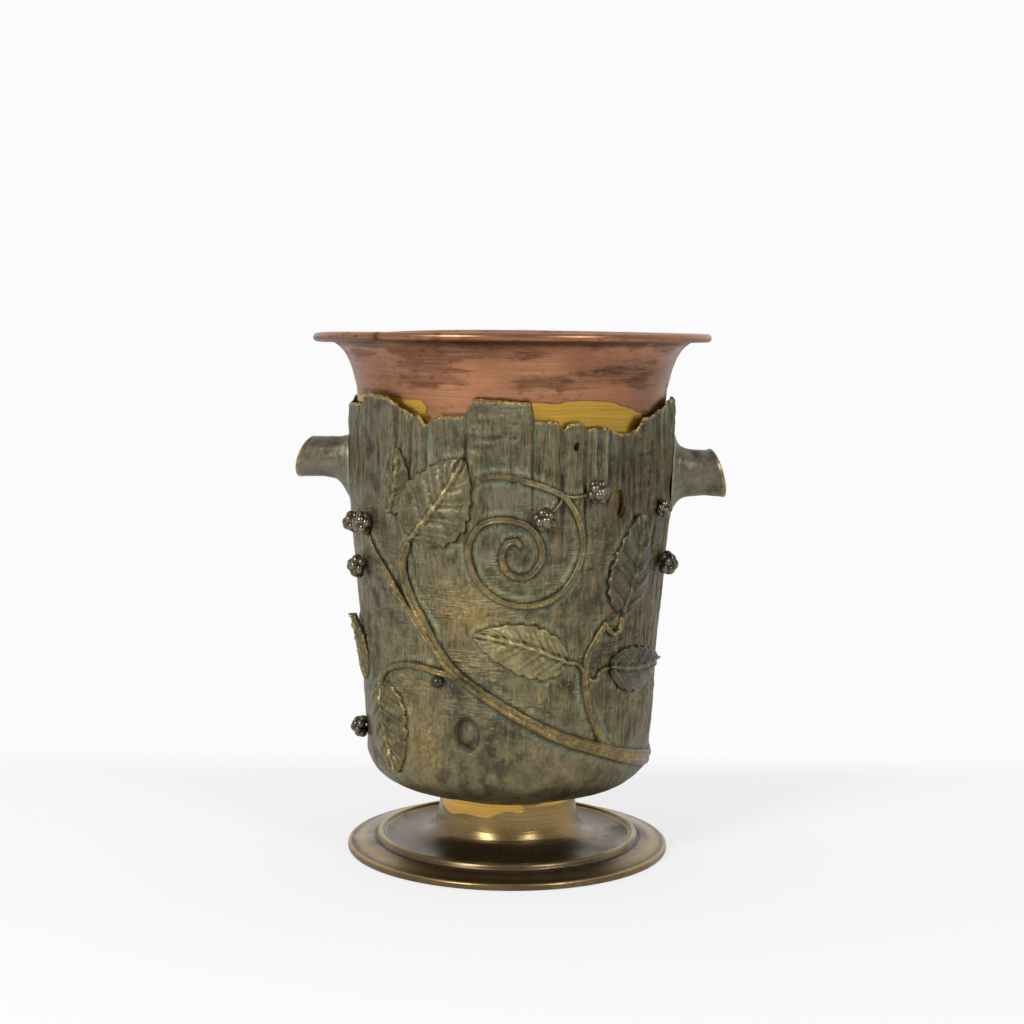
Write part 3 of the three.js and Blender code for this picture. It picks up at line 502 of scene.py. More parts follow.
def make_stem(name, points, widths, heights, split):
    line = smooth_path(points, STEM_STEP)
    heading = np.gradient(line, axis=0)
    heading /= np.linalg.norm(heading, axis=1)[:, None]
    share = np.linspace(0, 1, len(line))
    round_end = np.sqrt(np.clip(1 - (np.abs(share - 0.5) * 2) ** 60, 0.02, 1))
    seed = sum(map(ord, name))
    lumps = np.interp(share * 40, np.arange(41), np.random.default_rng(seed).uniform(-1, 1, 41))
    half = np.interp(share, [0, 1], widths) / 2 * round_end * (1 + 0.07 * lumps)
    emerging = 0.1 + 0.9 * eased(share, 0, 0.28)
    rise = np.interp(share, [0, 1], heights) * round_end * (1 + 0.1 * lumps) * emerging
    turn = np.radians(np.concatenate([np.linspace(0, 180, 15), [235, 270, 305]]))
    across = np.cos(turn) * half[:, None]
    profile = np.abs(np.sin(turn)) ** 0.75
    ridge = 1 - split * np.exp(-(np.cos(turn) / 0.28) ** 2) * (turn <= pi)
    lift = 0.25 + rise[:, None] * np.where(turn <= pi, profile * ridge, -0.35)
    stretch = TRUNK_RADIUS / bark_radius(line[:, 1])[:, None]
    east = line[:, :1] + across * heading[:, 1:] * stretch
    height = line[:, 1:] - across * heading[:, :1]
    wear = profile**6 * (turn <= pi) * (0.35 + 0.35 * lumps[:, None])
    # Painted shade along the stem's foot on the bark and in the groove between its two ridges.
    soot_and_shade = np.exp(-(lift / 0.8) ** 2) * 0.9 + split * np.exp(-(np.cos(turn) / 0.16) ** 2) * (turn <= pi)
    hollow = np.exp(-((lift - 1.3) / 0.6) ** 2) * 0.4
    marks = {"wear": wear, "hollow": hollow, "soot_and_shade": soot_and_shade}
    skin(name, lay_on_bark(east, height, lift), STEM, "vase", [name], marks)
    for side in (0, 14):
        EDGES.append(np.stack([east[:, side], height[:, side]], -1))


for stem_name, stem_sizes in STEMS.items():
    make_stem(stem_name, *stem_sizes)

# %% [markdown]
# Each bramble leaf is a domed sheet with a toothed edge, a midrib and arched side veins, cast in
# one with the bark. A leaf is a grid: its shape along and across comes from formulas, so every
# leaf differs only by its sizes. The flesh is puffed up between the veins, as in the photograph.

# %% Leaves
LEAVES = {
    "leaf_upper_left": ([-35.4, 66.6], 37, 49, 20, 19, 3.4, 0.5, 0.0, LEAF),
    "leaf_behind": ([-45, 72], 12, 33, 10, 10, 1.5, 0.0, 0.0, BARK),
    "leaf_centre": ([21, 38.4], -73, 47, 15.5, 11.5, 3.2, 0.4, 0.0, PALE_LEAF),
    "leaf_right": ([43.6, 48.9], 9, 49, 16, 16, 3.6, 0.2, 0.0, DARK_LEAF),
    "leaf_low_right": ([39.4, 36.4], 92, 46, 11.5, 13, 2.8, 0.2, 0.0, DARK_LEAF),
    "leaf_low_left": ([-55.6, 31], 166, 46, 18, 18, 3.6, 0.12, 0.0, LEAF),
    "leaf_left_edge": ([-69, 30], -24, 34, 9, 9, 2.6, 0.3, 2.4, LEAF),
    "leaf_rear_top": ([184.5, 65], 20, 46, 18, 18, 3.2, 0.4, 0.0, LEAF),
    "leaf_rear_left": ([215, 63.4], 62, 42, 15, 15, 3.2, 0.4, 0.0, LEAF),
    "leaf_rear_right": ([126.6, 42.4], -20, 46, 16, 16, 3.2, 0.3, 0.0, LEAF),
}
LEAF_ROWS = 84
LEAF_COLUMNS = 45
VEINS = 5.2


def make_leaf(name, base, heading, length, left, right, rise, curl, tip_lift, material):
    share = np.linspace(0.012, 0.99, LEAF_ROWS)[:, None]
    across = np.linspace(-1, 1, LEAF_COLUMNS)[None, :]
    across = np.sign(across) * np.abs(across) ** 0.85
    teeth = np.abs((share * 7.4) % 1 - 0.3)
    ragged = np.interp(share * 23, np.arange(24), np.random.default_rng(len(name)).uniform(0.93, 1, 24))
    outline = np.sin(pi * share ** 0.72) ** 0.7 * (1 - 0.16 * teeth) * ragged
    reach = np.where(across < 0, left, right) * outline
    side = across * reach
    forward = share * length + 1.5 * np.sin(pi * share) * (1 - across**2) * 0.3
    bend = 2.2 * np.sin(pi * share)
    phase = (share * VEINS - np.abs(across) * 1.25) % 1
    vein = np.exp(-((phase - 0.5) / 0.07) ** 2) * (1 - np.abs(across) ** 4)
    beside_vein = np.exp(-((phase - 0.3) / 0.08) ** 2) * (1 - np.abs(across) ** 4)
    puff = np.cos(phase * 2 * pi) * 0.6 * (1 - across**2)
    rib = np.exp(-(side / 0.75) ** 2)
    groove = np.exp(-((np.abs(side) - 1.5) / 0.6) ** 2)
    edge = np.clip(1 - np.abs(across), 0, 1)
    dome = 1.1 + (rise - 1.1) * (1 - across**2) ** 0.7 * eased(share, -0.05, 0.2) + puff
    lip = curl * 2.6 * np.exp(-(edge / 0.17) ** 2) * np.where(across < 0, 1, 0.4)
    flesh = dome + 0.9 * rib * (1 - share) ** 0.3 - 0.7 * groove + 0.5 * vein + lip
    top = flesh * eased(edge, -0.02, 0.06)
    top = top + tip_lift * share**2
    bottom_at = np.linspace(LEAF_COLUMNS - 1, 0, 12).round().astype(int)[1:-1]
    turned_by = radians(heading)
    lift = np.hstack([top, np.full((LEAF_ROWS, len(bottom_at)), -0.7) + tip_lift * share**2])
    side = np.hstack([side, side[:, bottom_at] * 0.97]) + bend
    forward = np.broadcast_to(forward, top.shape)
    forward = np.hstack([forward, forward[:, bottom_at]])
    height = percent_up(base[1]) + forward * cos(turned_by) - side * sin(turned_by)
    steps = forward * sin(turned_by) + side * cos(turned_by)
    east = radians(base[0]) * TRUNK_RADIUS + steps * TRUNK_RADIUS / bark_radius(height)
    edge_wear = np.exp(-((edge - 0.04) / 0.05) ** 2) * (0.14 + 0.7 * curl * (across < 0))
    wear = np.clip(rib * 0.55 + vein * 0.45 + edge_wear + puff * 0.3, 0, 1)
    hollow = np.clip(groove * 0.3 + beside_vein * 0.35, 0, 1)
    # Painted shade in the grooves beside the midrib and veins, at the edge and, below, under the leaf.
    soot_and_shade = np.clip(groove * 0.7 + beside_vein * 0.55 + (edge < 0.02) * 0.8, 0, 1)
    pad = np.zeros((LEAF_ROWS, len(bottom_at)))
    marks = {"wear": np.hstack([wear, pad]), "hollow": np.hstack([hollow, pad]),
             "soot_and_shade": np.hstack([soot_and_shade, pad + 0.8])}
    skin(name, lay_on_bark(east, height, lift + 0.2), material, "vase", [name], marks)
    for column in (0, LEAF_COLUMNS - 1):
        EDGES.append(np.stack([east[:, column], height[:, column]], -1))


for leaf_name, leaf_sizes in LEAVES.items():
    make_leaf(leaf_name, *leaf_sizes)

# %% [markdown]
# A blackberry is a heap of round drupelets. Their middles lie on a dome, spread by the golden
# angle, and a small Geometry Nodes tree sets a ball on each one. The bud is one long drupelet.

# %% Berries
BERRIES = {
    "berry_left_of_stalk": ([11, 72.2], 6.0), "berry_right_of_stalk": ([28.6, 78.4], 6.2),
    "berry_upper_left_inner": ([-58.6, 69], 6.0), "berry_upper_left_outer": ([-68.4, 68.6], 5.6),
    "berry_left_edge": ([-66, 58], 6.2), "berry_low_left": ([-79.6, 16.6], 5.8),
    "berry_right_small": ([63, 73], 4.8), "berry_right_edge": ([71, 59], 6.4),
    "berry_rear_first": ([150, 58], 6.0), "berry_rear_second": ([158, 63], 6.0),
    "berry_rear_third": ([232, 52], 6.0),
}
DRUPELETS = 11
GOLDEN_ANGLE = pi * (3 - 5**0.5)


def drupelet_tree():
    tree = bpy.data.node_groups.new("drupelets", "GeometryNodeTree")
    tree.interface.new_socket("Middles", in_out="INPUT", socket_type="NodeSocketGeometry")
    size = tree.interface.new_socket("Drupelet radius", in_out="INPUT", socket_type="NodeSocketFloat")
    tree.interface.new_socket("Berry", in_out="OUTPUT", socket_type="NodeSocketGeometry")
    given = tree.nodes.new("NodeGroupInput")
    ball = add(tree, "GeometryNodeMeshIcoSphere", {"Radius": given.outputs[1], "Subdivisions": 2})
    inputs = {"Points": given.outputs[0], "Instance": ball.outputs[0]}
    set_out = add(tree, "GeometryNodeInstanceOnPoints", inputs).outputs[0]
    real = add(tree, "GeometryNodeRealizeInstances", {0: set_out}).outputs[0]
    finished = add(tree, "GeometryNodeSetMaterial", {"Geometry": real, "Material": BERRY}).outputs[0]
    add(tree, "NodeGroupOutput", {0: finished})
    return tree, size.identifier


BERRY_TREE, DRUPELET_RADIUS = drupelet_tree()


def make_berry(name, at, radius):
    height = float(percent_up(at[1]))
    out = around(1.0, at[0], 0.0)
    across = around(1.0, at[0] + 90, 0.0)
    centre = around(float(bark_radius(height)) + radius * 0.42, at[0], height)
    spin = np.random.default_rng(len(name)).uniform(0, 6)
    rank = np.arange(DRUPELETS)
    rise = 1 - 1.25 * rank / (DRUPELETS - 1)
    wide = np.sqrt(1 - np.clip(rise, -1, 1) ** 2)
    turn = rank * GOLDEN_ANGLE + spin
    middles = (centre + radius * 0.58 * (np.outer(rise, out) + np.outer(wide * np.cos(turn), across)
                                         + np.outer(wide * np.sin(turn), [0, 0, 1])))
    cloud = bpy.data.meshes.new("middles")
    cloud.from_pydata((middles * MM).tolist(), [], [])
    holder = bpy.data.objects.new("middles", cloud)
    bpy.context.scene.collection.objects.link(holder)
    modifier = holder.modifiers.new("drupelets", "NODES")
    modifier.node_group = BERRY_TREE
    modifier[DRUPELET_RADIUS] = radius * 0.44 * MM
    graph = bpy.context.evaluated_depsgraph_get()
    mesh = bpy.data.meshes.new_from_object(holder.evaluated_get(graph))
    bpy.data.objects.remove(holder)
    mesh.name = name
    points = np.empty(len(mesh.vertices) * 3)
    mesh.vertices.foreach_get("co", points)
    away = np.linalg.norm(points.reshape(-1, 3) / MM - centre, axis=1) / radius
    # Painted shade between the drupelets: the middle of the heap is darkened.
    for mark, values in (("wear", 0.4 * eased(away, 0.86, 1.0)), ("soot_and_shade", 1 - eased(away, 0.58, 0.8))):
        mesh.attributes.new(mark, "FLOAT", "POINT").data.foreach_set("value", values.astype(np.float32))
    mesh.shade_smooth()
    mesh.materials.clear()
    finish_piece(name, mesh, BERRY, "vase", [name])


for berry_name, berry_sizes in BERRIES.items():
    make_berry(berry_name, *berry_sizes)


def make_bud(name, at, long, wide):
    turn = np.linspace(0.15, pi - 0.15, 22)[:, None]
    round_it = np.linspace(0, 2 * pi, 32, endpoint=False)[None, :]
    east = radians(at[0]) * TRUNK_RADIUS + long * np.cos(turn) + 0 * round_it
    height = percent_up(at[1]) + wide * np.sin(turn) * np.cos(round_it)
    lift = wide * (0.6 + np.sin(turn) * np.sin(round_it))
    skin(name, lay_on_bark(east, height, lift), BERRY, "vase", [name])


make_bud("bud", [-26.4, 33.2], 3.7, 2.9)

# %% [markdown]
# The trunk is one casting: bark outside, a plain bore inside, a floor with the bolt's hole and a
# jagged mouth like torn wood. Its skin is a fine grid, and the bark is real relief in that grid:
# planks, splits, saw marks, a healed knot, and a small fillet wherever an ornament meets it.

# %% Jagged mouth and planks
MOUTH = [
    [-180, 4], [-171, 3], [-170.4, 9], [-160, 11], [-159.4, 6], [-148, 5], [-147.4, 13], [-139, 12],
    [-138.4, 2], [-124, 1], [-123.4, 8], [-112, 7], [-111.4, 4], [-98, 3], [-90, 6], [-63, 5.5],
    [-62.4, 1.2], [-55, 0], [-46, 1.2], [-42, 5.2], [-36, 8.5], [-35.4, 9.6], [-32.5, 8.8],
    [-30, 13.4], [-24.7, 9], [-17.4, 9], [-15.6, 7.6], [-12.8, 0.6], [-1.5, 1.7], [7, 2.4],
    [7.6, 11], [15.6, 11], [17.7, 15], [19.6, 11.8], [25.4, 11.9], [26.2, 14.6], [33.3, 14],
    [39.2, 17], [46.4, 17.2], [51.4, 10.2], [56.4, 10], [73, 2.8], [88, 2], [88.6, 7], [101, 8],
    [101.6, 3], [115, 2], [115.6, 12], [126, 11], [126.6, 5], [141, 6], [141.6, 1], [154, 2],
    [154.6, 10], [166, 9], [166.6, 4], [180, 4],
]
PLANKS = [
    [-180, 0.4], [-170.7, 0.9], [-159.7, 0.2], [-147.7, 0.7], [-138.7, 0], [-123.7, 0.6], [-111.7, 0.3],
    [-97, 0.8], [-84, 0.5], [-62.7, 0], [-42.4, 0.6], [-35.7, 0.2], [-29.6, 0.7], [-15.4, 0],
    [7.3, 0.6], [17.7, 0.3], [26, 0.8], [39, 1], [47, 0.5], [62, 0.1], [76, 0.5], [88.3, 0.2],
    [101.3, 0.8], [115.3, 0.4], [126.3, 0.1], [141.3, 0.6], [154.3, 0.2], [166.3, 0.7],
]
PLANK_RELIEF = 1.5
PLANK_FADE = 62.0
KNOT = {"angle": -15.5, "height": 73.0, "half_width": 6.4, "half_height": 8.6}


def mouth_top(angle):
    angles, drops = np.array(MOUTH).T
    chips = 0.5 * ripple(angle, 10.0, 2.4, 300, 5)
    return TRUNK_TOP - np.interp(angle, angles, drops) - np.abs(chips)


def plank_depth(angle):
    edges, depths = np.array(PLANKS).T
    sides = np.repeat(edges[1:], 2) + np.tile([-0.35, 0.35], len(edges) - 1)
    stops = np.concatenate([[edges[0] - 0.1], sides])
    return np.interp(angle, stops, np.repeat(depths, 2)[:-1]) * PLANK_RELIEF


def near_edges(angle, z):
    """Millimetres from each point of the bark to the nearest outline of an ornament."""
    east = np.radians(angle) * TRUNK_RADIUS
    lines = np.vstack([edge[::2] for edge in EDGES])
    turn = 2 * pi * TRUNK_RADIUS
    lines = np.vstack([lines, lines - [turn, 0]])
    nearest = np.full(angle.shape, 99.0)
    for row in range(angle.shape[0]):
        beside = lines[np.abs(lines[:, 0] - east[row, 0]) < 9]
        if len(beside):
            apart = np.hypot(beside[:, :1] - east[row][None], beside[:, 1:] - z[row][None])
            nearest[row] = apart.min(0)
    return nearest


def bark_relief(angle, z):
    fade = np.clip((z - (TRUNK_TOP - PLANK_FADE)) / PLANK_FADE, 0, 1)
    torn = eased(z, 158, 205)
    side = eased(angle, 22, 46) * (1 - eased(angle, 112, 140)) * eased(z, 48, 70)
    hatched = eased(z, 92, 120) * (1 - eased(z, 170, 200)) * (1 - side)
    centre_plank = eased(angle, -16, -14) * (1 - eased(angle, 2, 5)) * eased(z, 204, 210)
    relief = -plank_depth(angle) * fade
    seam = np.min([np.abs(angle - edge) for edge, _ in PLANKS], axis=0)
    seam_end = 150 + 34 * ripple(angle, 50.0, 9, 300, 31)
    relief -= 1.5 * np.exp(-(seam / 0.6) ** 2) * eased(z, seam_end, seam_end + 26)
    upright = np.abs(ripple(angle, z, 3.4, 46, 11)) + 0.8 * np.abs(ripple(angle, z, 2.0, 22, 12))
    relief -= (0.1 + 1.0 * torn * (1 - 0.6 * centre_plank) + 0.55 * side) * upright
    split = np.clip(ripple(angle, z, 4.2, 18, 14) - 0.55, 0, 1)
    relief -= 2.4 * split * (torn + 0.3 * side)
    level = np.abs(ripple(angle, z, 15, 2.2, 21))
    right_plank = eased(angle, 46, 48) * (1 - eased(angle, 60, 64)) * eased(z, 178, 190)
    relief -= (0.28 * hatched + 1.3 * centre_plank + 1.2 * right_plank) * level
    relief -= 0.22 * hatched * np.abs(ripple(angle, z, 2.6, 13, 23))
    relief += 0.6 * ripple(angle, z, 24, 26, 41) + 0.3 * ripple(angle, z, 9, 10, 42)
    relief += 0.13 * ripple(angle, z, 2.4, 2.6, 43) + 0.16 * ripple(angle, z, 4.4, 5, 44)
    return relief


def knot_relief(angle, z):
    across = np.radians(angle - KNOT["angle"]) * bark_radius(KNOT["height"]) / KNOT["half_width"]
    up = (z - KNOT["height"]) / KNOT["half_height"]
    out = np.hypot(across * (1 + 0.12 * up), up)
    lip = 0.9 * np.exp(-((out - 1.14) / 0.2) ** 2)
    moat = -2.0 * np.exp(-((out - 0.8) / 0.17) ** 2) * (1 - 0.6 * eased(across, -0.3, 0.9))
    sunk = -0.7 * (1 - eased(out, 0.7, 1.0))
    # The second value is painted shade, darkest where the moat is deepest.
    return lip + moat + sunk, np.clip(-moat / 2.2, 0, 1)


# %% [markdown]
# The trunk's skin climbs the bowl and the bark, turns over at the mouth and goes down the bore. Its
# rows draw together near the mouth, where the torn wood is finest. The bark is calmer round the
# tendril and the knot, as if the carver had scraped the wax there.

# %% Grid of the trunk
TRUNK_COLUMNS = 500
OUTER_ROWS = 142
BOWL_ROWS = 20
CUP_ROWS = 8
BOLT_HOLE = 4.3
BOSS_RADIUS = 35.4
TENDRIL = {"angle": 3, "height": 165, "reach": 25}
BORE_SHARES = [0.997, 0.97, 0.85, 0.7, 0.55, 0.4, 0.25, 0.1, 0]


def box_blur(field, reach):
    """Mean over a square of the grid: the bark's local level, against which wear and hollows are judged."""
    padded = np.pad(field, ((reach, reach), (0, 0)), mode="wrap")
    total = np.cumsum(np.vstack([np.zeros((1, padded.shape[1])), padded]), axis=0)
    field = (total[2 * reach + 1:] - total[:-2 * reach - 1]) / (2 * reach + 1)
    padded = np.pad(field, ((0, 0), (reach, reach)), mode="edge")
    total = np.cumsum(np.hstack([np.zeros((padded.shape[0], 1)), padded]), axis=1)
    return (total[:, 2 * reach + 1:] - total[:, :-2 * reach - 1]) / (2 * reach + 1)


def outer_heights(top):
    bowl = BOWL_TOP - (BOWL_TOP - BOWL_FLAT) * np.cos(np.linspace(0.12, pi / 2, BOWL_ROWS))[None, :]
    climb = 1 - (1 - np.linspace(0, 1, OUTER_ROWS)) ** 1.3
    wall = BOWL_TOP + (top - BOWL_TOP) * climb[None, 1:]
    return np.hstack([np.broadcast_to(bowl, (TRUNK_COLUMNS, BOWL_ROWS)), wall])


def calmed_relief(wide, z):
    from_tendril = np.hypot(np.radians(wide - TENDRIL["angle"]) * TRUNK_RADIUS, z - TENDRIL["height"])
    calm = 1 - 0.85 * np.exp(-(from_tendril / TENDRIL["reach"]) ** 6)
    beside_knot = np.abs(wide - KNOT["angle"]) < 7
    smooth_knot = np.where(beside_knot, 1 - 0.9 * np.exp(-((z - KNOT["height"]) / 9) ** 2), 1)
    return bark_relief(wide, z) * smooth_knot * calm


# %% [markdown]
# How far a point stands above or below the mean of its neighbours says how rubbed and how green
# it is, and how dark, as soot and painted shade in the recesses. On top of that come two rubbed
# patches, a bright worn edge at the mouth, streaks of verdigris that rain has drawn down from it,
# painted shade in the knot's moat and along the outline of every ornament, and the darker right
# side and top.

# %% Wear on the bark


def bark_marks(wide, z, top, relief, apart, knot_moat_shade):
    level = box_blur(relief, 3)
    wear = np.clip((relief - level) / 0.4, 0, 1) * (0.45 - 0.28 * eased(z, 150, 185))
    hollow = np.clip((level - relief) / 0.4, 0, 1) * (0.12 + 0.6 * eased(z, top - 26, top - 4))
    # Soot and painted shade: points below their neighbours' mean are darkened.
    soot_and_shade = np.clip((level - relief) / 0.5 - 0.35, 0, 1) * (1 - 0.5 * eased(z, top - 22, top - 6))
    golden = np.exp(-(np.radians(wide + 13) * 78 / 15) ** 2 - ((z - 133) / 16) ** 2)
    golden += 0.7 * np.exp(-(np.radians(wide + 34) * 74 / 12) ** 2 - ((z - 70) / 22) ** 2)
    wear = np.maximum(wear, 0.85 * golden * (0.4 + 0.6 * np.abs(ripple(wide, z, 3, 3, 51))))
    rim_gold = eased(z, top - 1.9, top - 0.6) * (ripple(wide, z, 5, 300, 52) > -0.45)
    wear = np.maximum(wear, rim_gold)
    streaks = np.clip(ripple(wide, z, 1.7, 70, 53) * 3 - 1.0, 0, 1) * eased(z, top - 32, top - 10)
    wet = np.clip(0.3 + 1.4 * ripple(wide, z, 16, 300, 54), 0, 1)
    hollow = np.maximum(hollow * 0.4, streaks * wet * (1 - rim_gold))
    green_line = np.exp(-((apart - 2.1) / 1.1) ** 2) * 0.4
    hollow = np.maximum(hollow, green_line)
    # Painted shade in the knot's moat and along the line where each ornament meets the bark.
    soot_and_shade = np.maximum(np.maximum(soot_and_shade, knot_moat_shade), np.exp(-(apart / 0.8) ** 2) * 0.8)
    # Darker on the right side, low on the right and towards the top, set by angle and height.
    right_side = eased(wide, 18, 44) * (1 - eased(wide, 120, 160)) * eased(z, 60, 110)
    low_right = eased(wide, 4, 50) * (1 - eased(wide, 120, 160)) * (1 - eased(z, 44, 66))
    soot_and_shade = np.maximum(soot_and_shade, np.maximum(0.44 * right_side, 0.62 * low_right))
    soot_and_shade = np.maximum(soot_and_shade, 0.15 * eased(z, 178, 210))
    return {"wear": wear, "hollow": hollow, "soot_and_shade": soot_and_shade}


# %% [markdown]
# One closed line of heights and radii for each of the 500 columns gives the whole casting: the boss
# that sits on the foot, the bark, the mouth, the bore and the floor with the bolt's hole.

# %% Trunk


def bore(angle, top):
    wall_z = BOWL_TOP + (top - BOWL_TOP) * np.array(BORE_SHARES)[None, :]
    cup = BOWL_TOP - (BOWL_TOP - FLOOR_TOP) * np.cos(np.linspace(pi / 2, 0.1, CUP_ROWS))[None, 1:]
    z = np.hstack([wall_z, np.broadcast_to(cup, (TRUNK_COLUMNS, CUP_ROWS - 1))])
    cup_share = np.clip((BOWL_TOP - z) / (BOWL_TOP - FLOOR_TOP), 0, 1)
    cup_radius = BOWL_FLAT_RADIUS - WALL + (SHOULDER - BOWL_FLAT_RADIUS) * np.sqrt(1 - cup_share**2)
    radius = np.where(z >= BOWL_TOP, bark_radius(z) - WALL, cup_radius)
    return around(radius, np.broadcast_to(angle, z.shape), z)


def make_trunk():
    angle = np.linspace(-180, 180, TRUNK_COLUMNS, endpoint=False)[:, None]
    top = mouth_top(angle)
    z = outer_heights(top)
    wide = np.broadcast_to(angle, z.shape)
    relief = calmed_relief(wide, z)
    knot, knot_moat_shade = knot_relief(wide, z)
    apart = near_edges(wide, z)
    fillet = 0.9 * np.exp(-(apart / 1.7) ** 2)
    bevel = 0.9 * eased(z, top - 1.3, top)
    outer = around(bark_radius(z) + relief + knot + fillet - bevel, wide, z)
    under = [
        (BOLT_HOLE, TRUNK_BASE), (BOSS_RADIUS - 0.3, TRUNK_BASE), (BOSS_RADIUS, TRUNK_BASE + 0.4),
        (BOSS_RADIUS, TRUNK_BASE + 2), (BOSS_RADIUS - 0.4, TRUNK_BASE + 2.5),
        (BOSS_RADIUS + 0.8, BOWL_FLAT - 0.4), (BOSS_RADIUS + 2.2, BOWL_FLAT),
    ]
    below = np.stack([around(r, angle[:, 0], height) for r, height in under], axis=1)
    inner = bore(angle, top)
    floor_radii = (BOWL_FLAT_RADIUS - WALL, BOLT_HOLE)
    middle = np.stack([around(r, angle[:, 0], FLOOR_TOP) for r in floor_radii], axis=1)
    loops = np.concatenate([below, outer, inner, middle], axis=1)
    unmarked = ((0, 0), (len(under), inner.shape[1] + len(floor_radii)))
    marks = bark_marks(wide, z, top, relief, apart, knot_moat_shade)
    marks = {mark: np.pad(grid, unmarked) for mark, grid in marks.items()}
    marks["wear"][:, 1:5] = 0.5
    # Painted shade under the bowl, where it steps in to the boss.
    marks["soot_and_shade"][:, 5:8] = 0.8
    return skin("trunk_shell", loops, BARK, "vase", ["trunk_shell"], marks, endless=True)


trunk = make_trunk()

# %% [markdown]
# Two splits go right through the wall and show the copper behind. A Boolean cuts them, and it is
# applied at once, because the frame takes finished meshes only.

# %% Splits through the wall
SPLITS = {"long_split": (40.6, 183.8, 4.8, 12.0), "small_split": (22, 211.4, 2.2, 3.4)}
SPLIT_CORNERS = 14


def split_outline(wide, tall, phase):
    outline = []
    for k in range(SPLIT_CORNERS):
        turn = 2 * pi * k / SPLIT_CORNERS
        wobble = 1 + 0.12 * sin(3 * turn + phase)
        outline.append((wide / 2 * np.sign(cos(turn)) * abs(cos(turn)) ** 0.5 * wobble,
                        tall / 2 * np.sign(sin(turn)) * abs(sin(turn)) ** 0.7 * wobble))
    return outline


def make_cutter(name, angle, height, outline):
    """A wedge through the wall, wider outside than inside."""
    radius = float(bark_radius(height))
    out = around(1.0, angle, 0.0)
    across = around(1.0, angle + 90, 0.0)
    points = []
    for reach, flare in ((radius - 5, 0.85), (radius + 5, 1.7)):
        points += [out * reach + across * x * flare + np.array([0, 0, height + up * flare])
                   for x, up in outline]
    count = len(outline)
    sides = [(i, (i + 1) % count, count + (i + 1) % count, count + i) for i in range(count)]
    ends = [tuple(range(count - 1, -1, -1)), tuple(range(count, 2 * count))]
    mesh = bpy.data.meshes.new(name)
    mesh.from_pydata((np.array(points) * MM).tolist(), [], sides + ends)
    cutter = bpy.data.objects.new(name, mesh)
    bpy.context.scene.collection.objects.link(cutter)
    return cutter


def cut_split(piece, name, angle, height, wide, tall):
    cutter = make_cutter(name, angle, height, split_outline(wide, tall, height))
    modifier = piece.modifiers.new(name, "BOOLEAN")
    modifier.operation = "DIFFERENCE"
    modifier.solver = "EXACT"
    modifier.object = cutter
    graph = bpy.context.evaluated_depsgraph_get()
    result = bpy.data.meshes.new_from_object(piece.evaluated_get(graph))
    piece.modifiers.clear()
    piece.data = result
    bpy.data.objects.remove(cutter)
    print(name, "leaves", len(result.polygons), "faces")


for split_name, split_sizes in SPLITS.items():
    cut_split(trunk, split_name, *split_sizes)

# %% [markdown]
# The handles are stubs of sawn-off branches, bolted on from inside. Each is lofted along X from a
# wide root that hugs the trunk to a slanted sawn end, which dishes in and shows its growth rings.

# %% Stubs
STUBS = {
    "branch_stub_left": (-1, 200.3, 6.1, 4.4, [[11.4, 23, 11.6], [10.7, 16, 10.8], [10.3, 12, 10.4],
                                               [10.3, 10.5, 10.3]], (10.3, 10.5, 10.3)),
    "branch_stub_right": (1, 194.0, 6.6, 2.6, [[21, 22, 13.4], [15, 15, 12.8], [12.8, 12.8, 12.3],
                                               [12.1, 12.1, 12.1]], (12.1, 12.5, 12.2)),
}
STUB_REACH = 108.4
STUB_STOPS = (0, 0.15, 0.3, 0.52, 1)
STUB_RINGS = 54
STUB_SIDES = 96


def softened(line):
    return np.convolve(np.pad(line, 4, mode="edge"), np.ones(9) / 9, mode="valid")


def make_stub(name, side, height, slant_up, slant_away, sections, tip):
    turn = np.linspace(0, 2 * pi, STUB_SIDES, endpoint=False)
    along = np.linspace(0, 1, STUB_RINGS)
    up, down, wide = (softened(np.interp(along, STUB_STOPS, sizes)) for sizes in zip(*sections, tip))
    seed = 61 if side < 0 else 71
    rough = 0.35 * ripple(np.degrees(turn)[None, :], along[:, None] * 80 + 20, 60, 14, seed)
    rough = rough + 0.2 * ripple(np.degrees(turn)[None, :], along[:, None] * 60 + 20, 22, 20, seed + 1)
    rough = (rough - 0.3) * eased(along, 0.02, 0.2)[:, None] * (1 - eased(along, 0.93, 1.0)[:, None])
    y = (wide[:, None] + rough) * np.cos(turn)
    rise = np.where(np.sin(turn) > 0, up[:, None] + rough, down[:, None] + rough) * np.sin(turn)
    bark = bark_radius(height + rise) - 0.6
    root = np.sqrt(np.maximum(bark**2 - y**2, 1))
    sawn = -slant_away * (1 + y / tip[2]) - slant_up / 2 * (1 + rise / tip[0])
    end = sawn + STUB_REACH - sawn[-1].max()
    x = root + (end - root) * (along[:, None] ** 1.15)
    loops = list(np.stack([side * x, y, height + rise], axis=-1))
    # Painted shade in the low spots of the stub's bark.
    crevice = np.clip(-rough / 0.8 - 0.4, 0, 1) * 0.6
    middle = loops[-1].mean(0)
    rim = loops[-1]
    face = []
    for share in np.linspace(0.97, 0.04, 26):
        ring = middle + (rim - middle) * share
        dish = 0.9 * (1 - share**2) + 0.3 * (1 - cos(share * 38)) * (share < 0.93)
        ring[:, 0] -= side * dish
        loops.append(ring)
        face.append(np.full(STUB_SIDES, 0.35 + 0.35 * (1 - cos(share * 38)) / 2))
    soot_and_shade = np.vstack([crevice, face])
    hollow = np.zeros_like(soot_and_shade)
    hollow[:4] = 0.6
    wear = np.zeros_like(soot_and_shade)
    wear[51:55] = 0.6
    skin(name, loops, STUB, "vase", [name], {"wear": wear, "hollow": hollow, "soot_and_shade": soot_and_shade})


for stub_name, stub_sizes in STUBS.items():
    make_stub(stub_name, *stub_sizes)

